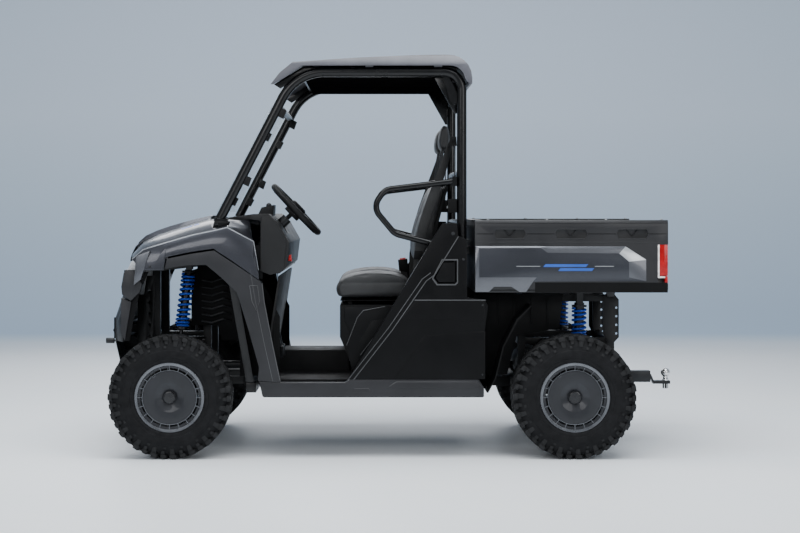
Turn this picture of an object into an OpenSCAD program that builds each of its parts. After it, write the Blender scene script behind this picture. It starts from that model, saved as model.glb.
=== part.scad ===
/* [Wheels] */
// Distance between the axles
wheelbase = 2030; // [1900:10:2300]
// Tyre outer diameter
tyre_d = 620; // [560:2:660]
// Front tyre width
front_tyre_w = 203; // [180:1:230]
// Rear tyre width
rear_tyre_w = 254; // [220:1:270]
// Distance between the front tyre centres
front_track = 1320; // [1280:5:1400]
// Distance between the rear tyre centres
rear_track = 1270; // [1230:5:1350]
// Outer diameter of the rim lip
rim_d = 350; // [320:1:370]
// Number of vents around each rim
vent_count = 20; // [12:1:24]
// Diameter of the wheel spindles
spindle_d = 40; // [30:1:50]

/* [Suspension and steering] */
// Distance of each steering axis from the middle
kingpin_y = 585; // [575:1:600]
// Height between the two ball joints of a wheel
ball_spread = 176; // [150:1:190]
// Outer diameter of the suspension arm tubes
arm_d = 30; // [20:1:36]
// Outer diameter of the coil springs
spring_d = 70; // [60:1:84]
// Diameter of the tie rods
tie_rod_d = 18; // [12:1:24]
// Steering wheel outer diameter
steering_wheel_d = 360; // [320:5:400]

/* [Frame and cage] */
// Side of the square frame tubes
rail = 50; // [40:1:60]
// Half distance between the main rails
rail_y = 240; // [200:5:280]
// Underside of the main rails above the ground
rail_z = 322; // [300:1:340]
// Diameter of the roll cage tubes
cage_d = 50; // [40:1:56]
// Half distance between the cage side hoops
cage_y = 600; // [560:1:610]
// Height of the roof rails
cage_z = 1950; // [1850:5:2050]

/* [Body] */
// Half width across the body sides
body_y = 695; // [680:1:710]
// Underside of the sills above the ground
sill_z = 305; // [290:1:320]
// Top of the floor above the ground
floor_z = 390; // [385:1:400]
// Thickness of the moulded panels
wall = 5; // [4:0.5:6]
// Width of the gap around moving panels
shut_gap = 6; // [5:0.5:10]

/* [Seats] */
// Width of one seat
seat_w = 490; // [420:5:520]
// Distance of each seat centre from the middle
seat_y = 285; // [265:5:300]
// Underside of the cushions above the ground
seat_z = 786; // [770:1:800]

/* [Cargo bed] */
// Length of the cargo bed
bed_l = 972; // [850:2:1000]
// Half width of the cargo bed
bed_y = 690; // [640:1:700]
// Underside of the cargo bed above the ground
bed_z = 832; // [826:1:850]
// Height of the bed sides
bed_h = 366; // [300:1:420]
// Thickness of the bed side walls
bed_wall = 40; // [30:1:50]

/* [Tow hitch] */
// Side of the square receiver tube
receiver = 60; // [56:1:70]
// Diameter of the tow ball
ball_d = 50; // [48:0.5:60]

/* [Hidden] */
$fn = 48;
eps = 1;
seat_gap = 0.3;
run_gap = 0.1;

front_x = 1100;
rear_x = front_x - wheelbase;
hub_z = tyre_d/2;
front_y = front_track/2;
rear_y = rear_track/2;
rail_top = rail_z + rail;
ball_pin_d = 16;
ball_low = hub_z - ball_spread/2;
ball_high = hub_z + ball_spread/2;
rear_arm_y = 560;
front_rail_y = rail_y - 40;
rear_rail_y = rail_y + 40;

post_x = -370;
foot = [858, 1206];
foot_z = 1194;
cage_front_x = 474;
cage_front_r = 240;
cage_rear_r = 90;
hoop = [foot, [cage_front_x, cage_z], [post_x, cage_z], [post_x, 1100]];
pillar_dir = [cage_front_x - foot[0], cage_z - foot[1]]/norm([cage_front_x - foot[0], cage_z - foot[1]]);

wheel_normal = [-0.722, 0, 0.692];
wheel_centre = [484, 330, 1251];
steer_tilt = atan2(wheel_normal[0], wheel_normal[2]);
column_d = 24;
column_house_d = 56;

bed_front = -433;
bed_rear = bed_front - bed_l;
bed_top = bed_z + bed_h;
bed_floor_t = 30;
bed_hinge = [-1165, bed_z - 22];
gate_t = 40;
gate_hinge = [bed_rear + 14, bed_z + 16];
hinge_pin_d = 16;
hood_hinge = [1312, 962];
hood_edge_y = 430;
flap_hinge_x = -329;
rack = [970, 306];
drive_z = 410;
battery_z = 434;
arm_out = [-112, -50];

function unit(v) = v/norm(v);
function normal2(v) = [-v[1], v[0]];
function turn_at(p, i) = let(u = unit(p[i] - p[i - 1]), v = unit(p[i + 1] - p[i])) atan2(cross(u, v), u*v);
function setback(p, r, i) = (i <= 0 || i >= len(p) - 1) ? 0 : r[i]*tan(abs(turn_at(p, i))/2);
// A polygon moved inwards by d, for points that run anticlockwise
function inset(p, d) = let(n = len(p)) [for (i = [0:n - 1])
    let(u = normal2(unit(p[i] - p[(i + n - 1) % n])), v = normal2(unit(p[(i + 1) % n] - p[i])))
    p[i] + d*(u + v)/(1 + u*v)];
function arc(c, r, a0, a1, n) = [for (i = [0:n]) c + r*[cos(a0 + (a1 - a0)*i/n), sin(a0 + (a1 - a0)*i/n)]];

module pair() {
    children();
    mirror([0, 1, 0]) children();
}
// Round bar between two points
module tube(a, b, d) {
    v = b - a;
    translate(a) rotate([0, acos(v[2]/norm(v)), atan2(v[1], v[0])]) cylinder(h = norm(v), d = d);
}
// Square bar between two points, h high and w wide when level
module bar(a, b, h, w) {
    v = b - a;
    translate(a) rotate([0, acos(v[2]/norm(v)), atan2(v[1], v[0])]) translate([-h/2, -w/2, 0])
        cube([h, w, norm(v)]);
}
module block(low, high) {
    translate(low) cube(high - low);
}
// Side outline in X and Z, from y to y + t
module side_plate(p, y, t) {
    translate([0, y + t, 0]) rotate([90, 0, 0]) linear_extrude(t) polygon(p);
}
// Front outline in Y and Z, from x to x + t
module front_plate(p, x, t) {
    translate([x, 0, 0]) rotate([90, 0, 90]) linear_extrude(t) polygon(p);
}
module y_rod(x, z, y0, y1, d) {
    tube([x, y0, z], [x, y1, z], d);
}
// A moulded side panel: an outline with an open back and a rim all round
module tray(p, y_out, depth) {
    difference() {
        side_plate(p, y_out - depth, depth);
        side_plate(inset(p, wall), y_out - depth - eps, depth - wall + eps);
    }
}
// A tube in the XY plane with a bend at each inner point
module bent_tube(p, r, d) {
    for (i = [0:len(p) - 2]) {
        u = unit(p[i + 1] - p[i]);
        a = p[i] + u*setback(p, r, i);
        b = p[i + 1] - u*setback(p, r, i + 1);
        tube([a[0], a[1], 0], [b[0], b[1], 0], d);
    }
    for (i = [1:len(p) - 2]) {
        u = unit(p[i] - p[i - 1]);
        s = sign(turn_at(p, i));
        first = p[i] - u*setback(p, r, i);
        last = p[i] + unit(p[i + 1] - p[i])*setback(p, r, i);
        c = first + s*r[i]*normal2(u);
        for (q = [[first, u], [last, unit(p[i + 1] - p[i])]])
            tube(concat(q[0] - 3*q[1], 0), concat(q[0] + 3*q[1], 0), d + 1);
        from = (s > 0 ? first : last) - c;
        translate([c[0], c[1], 0]) rotate([0, 0, atan2(from[1], from[0])])
            rotate_extrude(angle = abs(turn_at(p, i))) translate([r[i], 0]) circle(d = d);
    }
}
// A curved panel: rows of outer points, thickened by the vector inward
module skin(rows, inward) {
    r = len(rows);
    c = len(rows[0]);
    outer = [for (row = rows, p = row) p];
    points = concat(outer, [for (p = outer) p + inward]);
    top = [for (i = [0:r - 2], j = [0:c - 2]) [i*c + j, i*c + j + 1, (i + 1)*c + j + 1, (i + 1)*c + j]];
    under = [for (q = top) [q[3] + r*c, q[2] + r*c, q[1] + r*c, q[0] + r*c]];
    ends = concat([for (j = [0:c - 2]) [j + 1, j]], [for (i = [0:r - 2]) [i*c, (i + 1)*c]],
        [for (j = [0:c - 2]) [(r - 1)*c + j, (r - 1)*c + j + 1]],
        [for (i = [0:r - 2]) [(i + 2)*c - 1, (i + 1)*c - 1]]);
    edges = [for (e = ends) [e[0], e[1], e[1] + r*c, e[0] + r*c]];
    quads = concat(top, under, edges);
    polyhedron(points, concat([for (q = quads) [q[0], q[1], q[2]]], [for (q = quads) [q[0], q[2], q[3]]]));
}

module chassis_frame() {
    color("#222426") {
        for (y = [-rail_y, rail_y]) bar([-640, y, rail_z + rail/2], [760, y, rail_z + rail/2], rail, rail);
        for (x = [post_x, -60, 240, 700])
            bar([x, -cage_y - rail/2, rail_z + rail/2], [x, cage_y + rail/2, rail_z + rail/2], rail, rail);
        pair() block([-300, rail_y - 25, rail_top - eps], [150, rail_y + 25, battery_z]);
    }
}

// Upright frame tubes that carry the cage feet, the seat backs and the cowl
module cab_posts() {
    z = rail_top + seat_gap;
    color("#222426") {
        pair() {
            bar([post_x, cage_y, z], [post_x, cage_y, 1088], rail, rail);
            block([post_x - 45, cage_y - 30, 1086], [post_x + 45, cage_y + 30, 1092]);
            difference() {
                bar([700, cage_y, rail_top - rail/2], [foot[0] - 10, cage_y, 1184], 40, 40);
                block([600, cage_y - rail, rail_z - eps], [800, cage_y + rail, z]);
            }
            block([foot[0] - 40, cage_y - 30, 1180], [foot[0] + 30, cage_y + 30, foot_z]);
            bar([post_x - 24, rail_y, z], [post_x - 24, rail_y, 1064], 40, 40);
        }
        bar([post_x - 24, -cage_y, 1044], [post_x - 24, cage_y, 1044], 40, 40);
        bar([775, -cage_y + 15, 888], [775, cage_y - 15, 888], 40, 40);
    }
}

// Perforated side plate of a subframe, with a row of holes
module hole_plate(p, y, t, x, zs, d) {
    difference() {
        side_plate(p, y, t);
        for (z = zs) translate([x, y - eps, z]) rotate([-90, 0, 0]) cylinder(h = t + 2*eps, d = d);
    }
}

module front_subframe() {
    y = front_rail_y;
    color("#1b1d1f") {
        pair() {
            bar([760 + seat_gap, y, rail_z + 25], [1330, y, rail_z + 25], 40, 40);
            bar([960, y, rail_z + 25], [960, y, 985], 40, 40);
            bar([1230, y, rail_z + 25], [1230, y, 950], 40, 40);
            bar([942, y, 975], [1246, y, 940], 38, 38);
            bar([940, y, 560], [1310, y, 560], 36, 36);
            bar([1310, y, rail_z + 20], [1310, y, 800], 40, 40);
            block([1006, y - 10, 972], [1070, 420, 992]);
            for (q = [352, 412]) block([1021, q, 938], [1053, q + 6, 975]);
            hole_plate([[1240, 540], [1298, 540], [1298, 790], [1280, 900], [1240, 900]], y + 19, 7, 1266,
                [580:60:860], 16);
        }
        for (x = [960, 1230]) bar([x, -y, 960], [x, y, 960], 36, 36);
        for (x = [960, 1310]) bar([x, -y, rail_z + 25], [x, y, rail_z + 25], 36, 36);
        bar([1310, -y, 560], [1310, y, 560], 36, 36);
    }
}

module rear_subframe() {
    y = rear_rail_y;
    color("#1b1d1f") {
        pair() {
            bar([-640 - seat_gap, y, rail_z + 25], [-1240, y, rail_z + 25], 40, 40);
            bar([-700, y, rail_z + 25], [-700, y, 800], 40, 40);
            bar([-1165, y, rail_z + 25], [-1165, y, 770], 44, 40);
            bar([-680, y, 786], [-1140, y, 786], 36, 40);
            bar([-700, y, 560], [-1150, y, 560], 34, 34);
            difference() {
                hole_plate([[-1210, 580], [-1186, 554], [-1150, 554], [-1127, 600], [-1127, 790], [-1150,
                    818],
                    [-1178, 818], [-1210, 778]], y + 19, 9, -1197, [600:45:740], 12);
                y_rod(bed_hinge[0], bed_hinge[1], y, y + 40, hinge_pin_d + 2*run_gap);
            }
            block([-1030, y - 10, 796], [-960, y + 20, 827]);
            block([-1030, y, 821], [-960, 460, 827]);
            for (q = [388, 448]) block([-1005, q, 764], [-973, q + 6, 823]);
        }
        for (x = [-700, -1165]) bar([x, -y, 560], [x, y, 560], 36, 36);
        bar([-700, -y, 786], [-700, y, 786], 36, 36);
        bar([-1220, -y, rail_z + 25], [-1220, y, rail_z + 25], 40, 40);
        bar([-660 - seat_gap, -y, rail_z + 25], [-660 - seat_gap, y, rail_z + 25], 40, 40);
    }
}

module battery_pack() {
    color("#3a3d40") block([-330, -330, battery_z + seat_gap], [165, 330, 742]);
}

module drive_motor() {
    color("#5a5d60") {
        y_rod(rear_x, drive_z, -120, 90, 200);
        y_rod(rear_x + 170, drive_z + 15, -150, 150, 170);
        block([rear_x - 60, -60, drive_z], [rear_x + 170, 60, drive_z + 95]);
        block([rear_x - 50, -rear_rail_y + 20 + seat_gap, 350], [rear_x + 50, rear_rail_y - 20 - seat_gap,
            450]);
    }
}

module front_differential() {
    color("#5a5d60") {
        y_rod(front_x, drive_z, -90, 90, 150);
        tube([front_x - 150, 0, drive_z], [front_x, 0, drive_z], 70);
        block([front_x - 40, -front_rail_y + 20 + seat_gap, 350], [front_x + 40,
            front_rail_y - 20 - seat_gap, 440]);
    }
}

// One half shaft with a joint housing, and with a boot that ends a given distance from its outer end
module half_shaft(a, b, boot) {
    u = unit(b - a);
    tube(a + u*13, b, 26);
    y_rod(a[0], a[2], a[1], a[1] + 26, 78);
    tube(a + u*24, a + u*60, 54);
    tube(b - u*(boot + 38), b - u*boot, 52);
}

module drive_shafts() {
    color("#2c2e30") {
        pair() {
            half_shaft([front_x, front_rail_y - 20 + seat_gap, drive_z], [front_x, kingpin_y, hub_z], 62);
            translate([front_x, kingpin_y, hub_z]) sphere(d = 50);
            half_shaft([rear_x, rear_rail_y - 20 + seat_gap, drive_z], [rear_x, rear_arm_y - 29,
                hub_z + 6], 8);
        }
        tube([front_x - 150 - seat_gap, 0, drive_z], [rear_x + 170 + 85 + seat_gap, 0, drive_z], 40);
    }
}

// A V shaped arm from two pivots on the frame to one outer end
module v_arm(inner, outer, spread) {
    for (s = [-1, 1]) {
        tube(inner + [s*spread, 0, 0], outer + [s*8, 0, 0], arm_d);
        tube(inner + [s*spread - 22, 0, 0], inner + [s*spread + 22, 0, 0], 36);
    }
    t = 0.42;
    p = outer + t*(inner - outer);
    tube(p - [spread*t, 0, 0], p + [spread*t, 0, 0], arm_d - 8);
}

// Two ears that hold a damper eye
module ears(x, y, low, high, half_gap) {
    for (s = [-1, 1]) block([x - 15, y + s*(half_gap + 3) - 3, low], [x + 16, y + s*(half_gap + 3) + 3,
        high]);
}

front_low_eye = [front_x - 10, 440, 505];
front_top_eye = [front_x - 63, 385, 955];
rear_low_eye = [rear_x - 55, 421, 532];
rear_top_eye = [rear_x - 59, 421, 778];
arm_inner_gap = 38 + seat_gap;

module suspension_arms() {
    color("#202224") pair() {
        for (q = [[rail_z + 25, ball_low, -1], [560, ball_high, 1]]) {
            v_arm([front_x, front_rail_y + arm_inner_gap, q[0]], [front_x, kingpin_y - 12,
                q[1] + q[2]*22], 110);
            translate([front_x, kingpin_y, q[1] - (q[2] < 0 ? 32 : 0)]) cylinder(h = 32, d = 42);
            translate([front_x, kingpin_y, q[1] - (q[2] < 0 ? eps : 26)]) cylinder(h = 26 + eps,
                d = ball_pin_d);
        }
        for (q = [[rail_z + 25, ball_low + 8], [560, ball_high - 8]]) {
            v_arm([rear_x, rear_rail_y + arm_inner_gap, q[0]], [rear_x, rear_arm_y - 34, q[1]], 100);
            block([rear_x - 20, rear_arm_y - 46, q[1] - 16], [rear_x + 20, rear_arm_y - 15 - seat_gap,
                q[1] + 16]);
        }
        block([front_x - 40, 415, 458], [front_x + 24, 465, 466]);
        ears(front_low_eye[0], front_low_eye[1], 460, 522, 16);
        block([rear_x - 76, 396, 463], [rear_x + 10, 446, 471]);
        ears(rear_low_eye[0], rear_low_eye[1], 465, 548, 16);
    }
}

module rear_uprights() {
    color("#3c3f42") pair() {
        block([rear_x - 24, rear_arm_y - 15, ball_low - 14], [rear_x + 24, rear_arm_y + 15,
            ball_high + 14]);
        y_rod(rear_x, hub_z, rear_arm_y - 24, rear_arm_y + 40, 90);
        y_rod(rear_x, hub_z, rear_arm_y + 40, rear_y + hub_out(rear_tyre_w) - 8, spindle_d);
    }
}

// Damper: an eye at each end, a rod, a body and two spring seats
module damper(low, top, half_low, half_top, d, span) {
    l = norm(top - low);
    y_rod(low[0], low[2], low[1] - half_low + seat_gap, low[1] + half_low - seat_gap, 30);
    y_rod(top[0], top[2], top[1] - half_top + seat_gap, top[1] + half_top - seat_gap, 26);
    along(low, top) {
        cylinder(h = l, d = 20);
        translate([0, 0, 0.3*l]) cylinder(h = 0.66*l, d = d - 26);
        translate([0, 0, span[0] - 12]) cylinder(h = 12, d = d);
        translate([0, 0, span[1]]) cylinder(h = 10, d = d);
    }
}
module along(a, b) {
    v = b - a;
    translate(a) rotate([0, acos(v[2]/norm(v)), atan2(v[1], v[0])]) children();
}
front_span = [138, 420];
rear_span = [58, 214];
rear_spring_d = spring_d + 8;

module dampers() {
    color("#17181a") pair() {
        damper(front_low_eye, front_top_eye, 16, 27, spring_d, front_span);
        damper(rear_low_eye, rear_top_eye, 16, 27, rear_spring_d, rear_span);
    }
}

// Outer shape of one coil spring, ribbed once for each turn
module spring_sleeve(span, d, turns) {
    pitch = (span[1] - span[0] - 2*seat_gap)/turns;
    outline = concat([[d/2 - 11, 0]], [for (i = [0:turns - 1], q = [[-4, 0], [0, 0.5]]) [d/2 + q[0],
        (i + q[1])*pitch]],
        [[d/2 - 4, turns*pitch], [d/2 - 11, turns*pitch]]);
    translate([0, 0, span[0] + seat_gap]) rotate_extrude() polygon(outline);
}
module springs() {
    color("#1450c8") pair() {
        along(front_low_eye, front_top_eye) spring_sleeve(front_span, spring_d, 11);
        along(rear_low_eye, rear_top_eye) spring_sleeve(rear_span, rear_spring_d, 7);
    }
}

rack_d = 24;
rack_house_l = 150;
module steering_gear() {
    color("#2a2c2e") {
        difference() {
            union() {
                y_rod(rack[0], rack[1], -rack_house_l, rack_house_l, 40);
                for (y = [-120, 120]) block([rack[0] - 16, y - 15, rack[1]], [rack[0] + 16, y + 15,
                    rail_z + 7 - seat_gap]);
            }
            y_rod(rack[0], rack[1], -rack_house_l - eps, rack_house_l + eps, rack_d + 2*run_gap);
        }
        steer_frame() difference() {
            translate([0, 0, -270]) cylinder(h = 205, d = column_house_d);
            translate([0, 0, -320]) cylinder(h = 300, d = column_d + 2*run_gap);
        }
    }
}
module steer_frame() {
    translate(wheel_centre) rotate([0, steer_tilt, 0]) children();
}

module tie_rods() {
    color("#4a4d50") {
        y_rod(rack[0], rack[1], -rack_house_l - 70, rack_house_l + 70, rack_d);
        pair() {
            tube([rack[0], rack_house_l + 70, rack[1]], [front_x + arm_out[0], kingpin_y + arm_out[1],
                rack[1]], tie_rod_d);
            translate([front_x + arm_out[0], kingpin_y + arm_out[1], rack[1] - 9]) cylinder(h = 14, d = 32);
        }
    }
}

// Nose panel corner lines: height, then reach forward at the middle and at the side
nose_levels = [[470, 1405, 1392], [560, 1436, 1412], [680, 1436, 1405], [838, 1384, 1352], [940, 1346,
    1312]];
module front_bumper() {
    color("#2b2d30") {
        skin([for (y = [-440, -300, 300, 440])
            [for (v = nose_levels) [abs(y) > 400 ? v[2] : v[1], y, v[0]]]], [-wall, 0, 0]);
        pair() {
            skin([for (q = [[440, 0], [560, -22], [640, -58]])
                [for (v = [for (i = [1:4]) nose_levels[i]]) [v[2] + q[1] - (v[0] < 600 ? 6 : 0),
                    q[0] + 0.5, max(v[0], 580)]]],
                [-wall, 0, 0]);
            side_plate([[1345, 585], [1342, 680], [1292, 838], [1258, 936], [1216, 936], [1262, 838],
                [1296, 680], [1312, 585]], 636, wall);
            block([1330 + seat_gap, front_rail_y - 20, 600], [1390, front_rail_y + 20, 640]);
            block([1400, 280, 600], [1433, 320, 640]);
            difference() {
                block([1290, 352, 934], [1334, 364, hood_hinge[1] + 12]);
                y_rod(hood_hinge[0], hood_hinge[1], 340, 380, 12 + 2*seat_gap);
            }
        }
        bar([1396, -400, 620], [1396, 400, 620], 60, 24);
        bar([1300, -636, 938], [1300, 636, 938], 12, 84);
    }
}

module headlights() {
    color("#c8ccd0") pair()
        side_plate([[1246, 944 + seat_gap], [1326, 944 + seat_gap], [1306, 988], [1264, 1012], [1240,
            1012]], 446, 186);
}

// Hood stations: X, height at the side edge, height at the middle
hood_rows = [[934, 1203, 1222], [1010, 1182, 1206], [1080, 1160, 1188], [1150, 1138, 1168], [1215, 1115,
    1146],
    [1275, 1090, 1118], [1312, 1060, 1084], [1332, 1020, 1034], [1340, 988, 990]];
hood_cols = [-1, -0.72, -0.7, -0.35, 0, 0.35, 0.7, 0.72, 1];
module hood() {
    color("#55585e") {
        skin([for (s = hood_rows) [for (c = hood_cols)
            [s[0], c*hood_edge_y, s[1] + (s[2] - s[1])*(abs(c) > 0.71 ? 0 : 1 - 0.3*c*c)]]], [-2, 0,
                -wall]);
        for (y = [-358, 358]) {
            y_rod(hood_hinge[0], hood_hinge[1], y - 20, y + 20, 12);
            for (s = [-1, 1]) side_plate([[hood_hinge[0] - 8, hood_hinge[1] - 8], [hood_hinge[0] + 9,
                hood_hinge[1] - 8],
                [1327, 1036], [1312, 1069]], y + (s > 0 ? 10 : -16), 6);
        }
    }
}

// Fender stations: X and height at the hood edge, at the crease and at the lower edge
fender_rows = [[[1322, 1022], [1297, 1000], [1240, 948]], [[1272, 1080], [1240, 1048], [1190, 948]],
    [[1190, 1118], [1170, 1070], [1137, 948]], [[1130, 1138], [1126, 1083], [1126, 1014]],
    [[1010, 1176], [1000, 1120], [999, 1041]], [[934, 1198], [887, 1143], [887, 1057]],
    [[830, 1202], [817, 1160], [790, 994]], [[740, 1196], [684, 1090], [700, 930]], [[722, 1190], [660,
        945], [657, 899]]];
module front_fenders() {
    color("#5c5f66") pair() difference() {
        skin([for (i = [len(fender_rows) - 1:-1:0]) let(r = fender_rows[i])
        [[r[0][0], hood_edge_y + shut_gap, r[0][1]],
         [(r[0][0] + r[1][0])/2, 570, 0.45*r[0][1] + 0.55*r[1][1] + 12],
         [r[1][0], body_y - 22, r[1][1]],
         [0.6*r[1][0] + 0.4*r[2][0], body_y - 6, 0.6*r[1][1] + 0.4*r[2][1]],
         [r[2][0], body_y, r[2][1]]]], [-2, -wall, -wall]);
        block([foot[0] - 46, cage_y - 36, 1100], [foot[0] + 36, cage_y + 36, 1300]);
    }
}

arch = [[1223, 942], [1130, 951], [1026, 969], [922, 972], [850, 913], [766, 832], [707, 640], [655, 455],
    [662, 389]];
flare_top = [[548, sill_z + 74 + seat_gap], [598, 620], [647, 888], [782, 979], [882, 1045], [997, 1028],
    [1119, 1003]];
module fender_flares() {
    color("#2a2c2f") pair() {
        tray(concat([for (i = [len(arch) - 1:-1:1]) arch[i]],
            [for (i = [len(flare_top) - 1:-1:0]) flare_top[i]]),
            body_y - 1, 42);
        difference() {
            side_plate(concat([for (i = [3:7]) arch[i] + [-11, 8]], [for (i = [7:-1:3]) arch[i] + [-3,
                2]]), 430,
                body_y - 43 - 430 - seat_gap);
            bar([700, cage_y, rail_top - rail/2], [foot[0] - 10, cage_y, 1184], 56, 56);
            block([752, 400, 865], [798, 620, 911]);
        }
    }
}

dash_side = [[702, 1204], [690, 1228], [610, 1228], [560, 1180], [505, 1083], [520, 960], [556, 926],
    [612, 926],
    [560, 1080], [600, 1160], [660, 1196]];
cowl_y = hood_edge_y + shut_gap - wall - seat_gap;
cowl_side = [[926, 1180], [926, 1198], [800, 1214], [700, 1228], [690, 1218], [690, 1200], [800, 1194]];
module dash() {
    color("#26282a") {
        difference() {
            side_plate(dash_side, -640, 1280);
            steer_frame() {
                translate([0, 0, -330]) cylinder(h = 200, d = column_house_d + 2*seat_gap);
                translate([0, 0, -131]) cylinder(h = 131, d = 116);
            }
        }
        side_plate(cowl_side, -cowl_y, 2*cowl_y);
        pair() side_plate([[650, 940], [650, 1180], [640, 1215], [600, 1215], [560, 1170], [520, 1083],
            [535, 940],
            [600, 920]], 640 + seat_gap, 12);
    }
}

module floor_pan() {
    color("#1d1f21") {
        difference() {
            union() {
                block([180, -628, floor_z - 8], [640, 628, floor_z]);
                side_plate([[632, floor_z - 8], [644, floor_z - 8], [560, 915], [551, 915]], -628, 1256);
                side_plate([[212, floor_z - 4], [632, floor_z - 4], [600, 470], [560, 500], [212, 500]],
                    -150, 300);
            }
            side_plate([[211, floor_z - 9], [660, floor_z - 9], [660, 440], [600, 464], [558, 500 - wall],
                [211, 500 - wall]], -150 + wall, 300 - 2*wall);
        }
    }
}

sill_side = [[-478, sill_z + 4], [-470, sill_z], [630, sill_z], [638, sill_z + 6], [655, 386], [560,
    sill_z + 74],
    [225, sill_z + 74], [196, sill_z + 90], [-448, sill_z + 90], [-478, 355]];
module side_sills() {
    color("#2e3033") pair() tray(sill_side, body_y, body_y - 628 - seat_gap);
}

seat_front = 250;
seat_back_x = -330;
module seat_base() {
    color("#232527") {
        difference() {
            side_plate([[seat_back_x, floor_z + seat_gap], [184, floor_z + seat_gap], [196, 470],
                [seat_front, 600],
                [seat_front, 762], [seat_back_x, 762]], -566, 1132);
            side_plate([[seat_back_x - eps, floor_z - 9], [172, floor_z - 9], [188, 480], [seat_front - 8,
                604], [seat_front - 8, 756],
                [seat_back_x - eps, 756]], -560, 1120);
            block([150, -60, 380], [260, 60, 470]);
        }
        pair() for (x = [-110, 200]) block([x - 12, seat_y - 200, 762], [x + 12, seat_y + 200, seat_z - 4]);
        pair() block([-140, seat_y - 215, seat_z - 4], [seat_front, seat_y + 215, seat_z - seat_gap]);
    }
}

panel_side = [[-448, sill_z + 90 + seat_gap], [205, sill_z + 90 + seat_gap], [-262, 1172], [-272, 1182],
    [-342, 1182], [-347, 1119],
    [-393, 1099], [-393, 807], [-478, 797], [-498, 767]];
// The charge flap's five sided outline
flap_side = [[-228, 908], [-270, 990], [-338, 990], [-338, 890], [-328, 880], [-248, 880]];
module side_panel() {
    tray(panel_side, body_y - 2, 60);
    side_plate([[-320, floor_z + 10], [150, floor_z + 10], [120, 470], [228, 690], [228, 756], [60, 756],
        [-320, 756]], 566 + seat_gap, 6);
}
module side_panels() {
    color("#2b2d30") {
        mirror([0, 1, 0]) side_panel();
        difference() {
            union() {
                side_panel();
                side_plate(inset(flap_side, -8), body_y - 40, 36);
            }
            side_plate(flap_side, body_y - 34, 60);
        }
    }
}
module charge_flap() {
    color("#303236") {
        side_plate(inset(flap_side, shut_gap - 0.5), body_y - 8, 6);
        translate([flap_hinge_x, body_y - 5, 884]) cylinder(h = 106 - seat_gap, d = 6);
    }
}

module wheel_liners() {
    color("#17191b") pair() {
        side_plate([[-500, 330], [-520, 380], [-560, 560], [-640, 700], [-700, 800], [-700, 812], [-510,
            812], [-510, 770],
            [-460, 400], [-490, 330]], 400, 6);
        block([-496, 404, 340], [post_x - rail/2 - seat_gap, 560, 346]);
        side_plate([[-500, 328], [-540, 400], [-580, 560], [-650, 690], [-715, 760], [-715, 768], [-645,
            700], [-573, 560],
            [-533, 400], [-492, 328]], 406, 280);
    }
}

// Side outline of one cushion
cushion_side = concat([[286, 812], [270, seat_z], [-100, seat_z], [-128, 808]],
    [[-124, 860], [-80, 920]], arc([60, 700], 254, 112, 60, 6), [[252, 900], [284, 860]]);
module seat_cushions() {
    color("#222325") pair() side_plate([for (i = [len(cushion_side) - 1:-1:0]) cushion_side[i]], seat_y - seat_w/2, seat_w);
}
back_side = [[-222, 962], [-126, 962], [-112, 1010], [-112, 1090], [-140, 1190], [-200, 1356], [-228, 1390],
    [-268, 1396], [-296, 1376], [-292, 1350], [-232, 1180], [-214, 1080]];
module seat_backs() {
    color("#222325") pair() {
        side_plate(back_side, seat_y - seat_w/2 + 10, seat_w - 20);
        for (y = [seat_y - 140, seat_y + 100]) block([post_x - 4 + seat_gap, y, 1036], [-205, y + 40,
            1052]);
    }
}
module head_rests() {
    color("#222325") pair() {
        for (y = [seat_y - 60, seat_y + 60]) translate([-268, y, 1396 + seat_gap]) cylinder(h = 160,
            d = 12);
        side_plate([[-322, 1548], [-256, 1548], [-252, 1600], [-264, 1680], [-284, 1705], [-318, 1700],
            [-326, 1650]],
            seat_y - 130, 260);
    }
}
module seat_belts() {
    color("#1c1d1f") pair() {
        bar([-325, 583, 1580], [-150, 549, 790], 46, 2);
        block([post_x + cage_d/2 + seat_gap, 566, 1570], [-322, 600, 1620]);
        block([-178, 541, 762 + seat_gap], [-122, 557, 806]);
        block([-112, 14, 762 + seat_gap], [-78, 36, 990]);
    }
}

module roll_cage() {
    color("#1c1e20") {
        pair() {
            translate([0, cage_y, 0]) rotate([90, 0, 0])
                bent_tube(hoop, [0, cage_front_r, cage_rear_r, 0], cage_d);
            translate([post_x - 45, cage_y - 30, 1092 + seat_gap]) cube([90, 60, 8]);
            translate([foot[0] - 40, cage_y - 30, foot_z + seat_gap]) cube([70, 60, 10]);
            for (t = [110, 480]) translate([foot[0] + t*pillar_dir[0], cage_y - 46,
                foot[1] + t*pillar_dir[1]])
                rotate([0, atan2(pillar_dir[0], pillar_dir[1]), 0]) translate([-36, 4, -22]) cube([36, 24,
                    44]);
            side_plate([[post_x + 10, 1810], [post_x + 66, 1930], [post_x + 96, 1930], [post_x + 60, 1800],
                [post_x + 40, 1786], [post_x + 10, 1786]], cage_y - 4, 8);
        }
        for (x = [430, 20, post_x + 40]) bar([x, -cage_y, cage_z - 4], [x, cage_y, cage_z - 4], 34, 34);
        for (z = [1180, 1440, 1850]) tube([post_x, -cage_y, z], [post_x, cage_y, z], 38);
        top = foot + 640*pillar_dir;
        tube([top[0], -cage_y, top[1]], [top[0], cage_y, top[1]], 38);
    }
}

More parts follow.
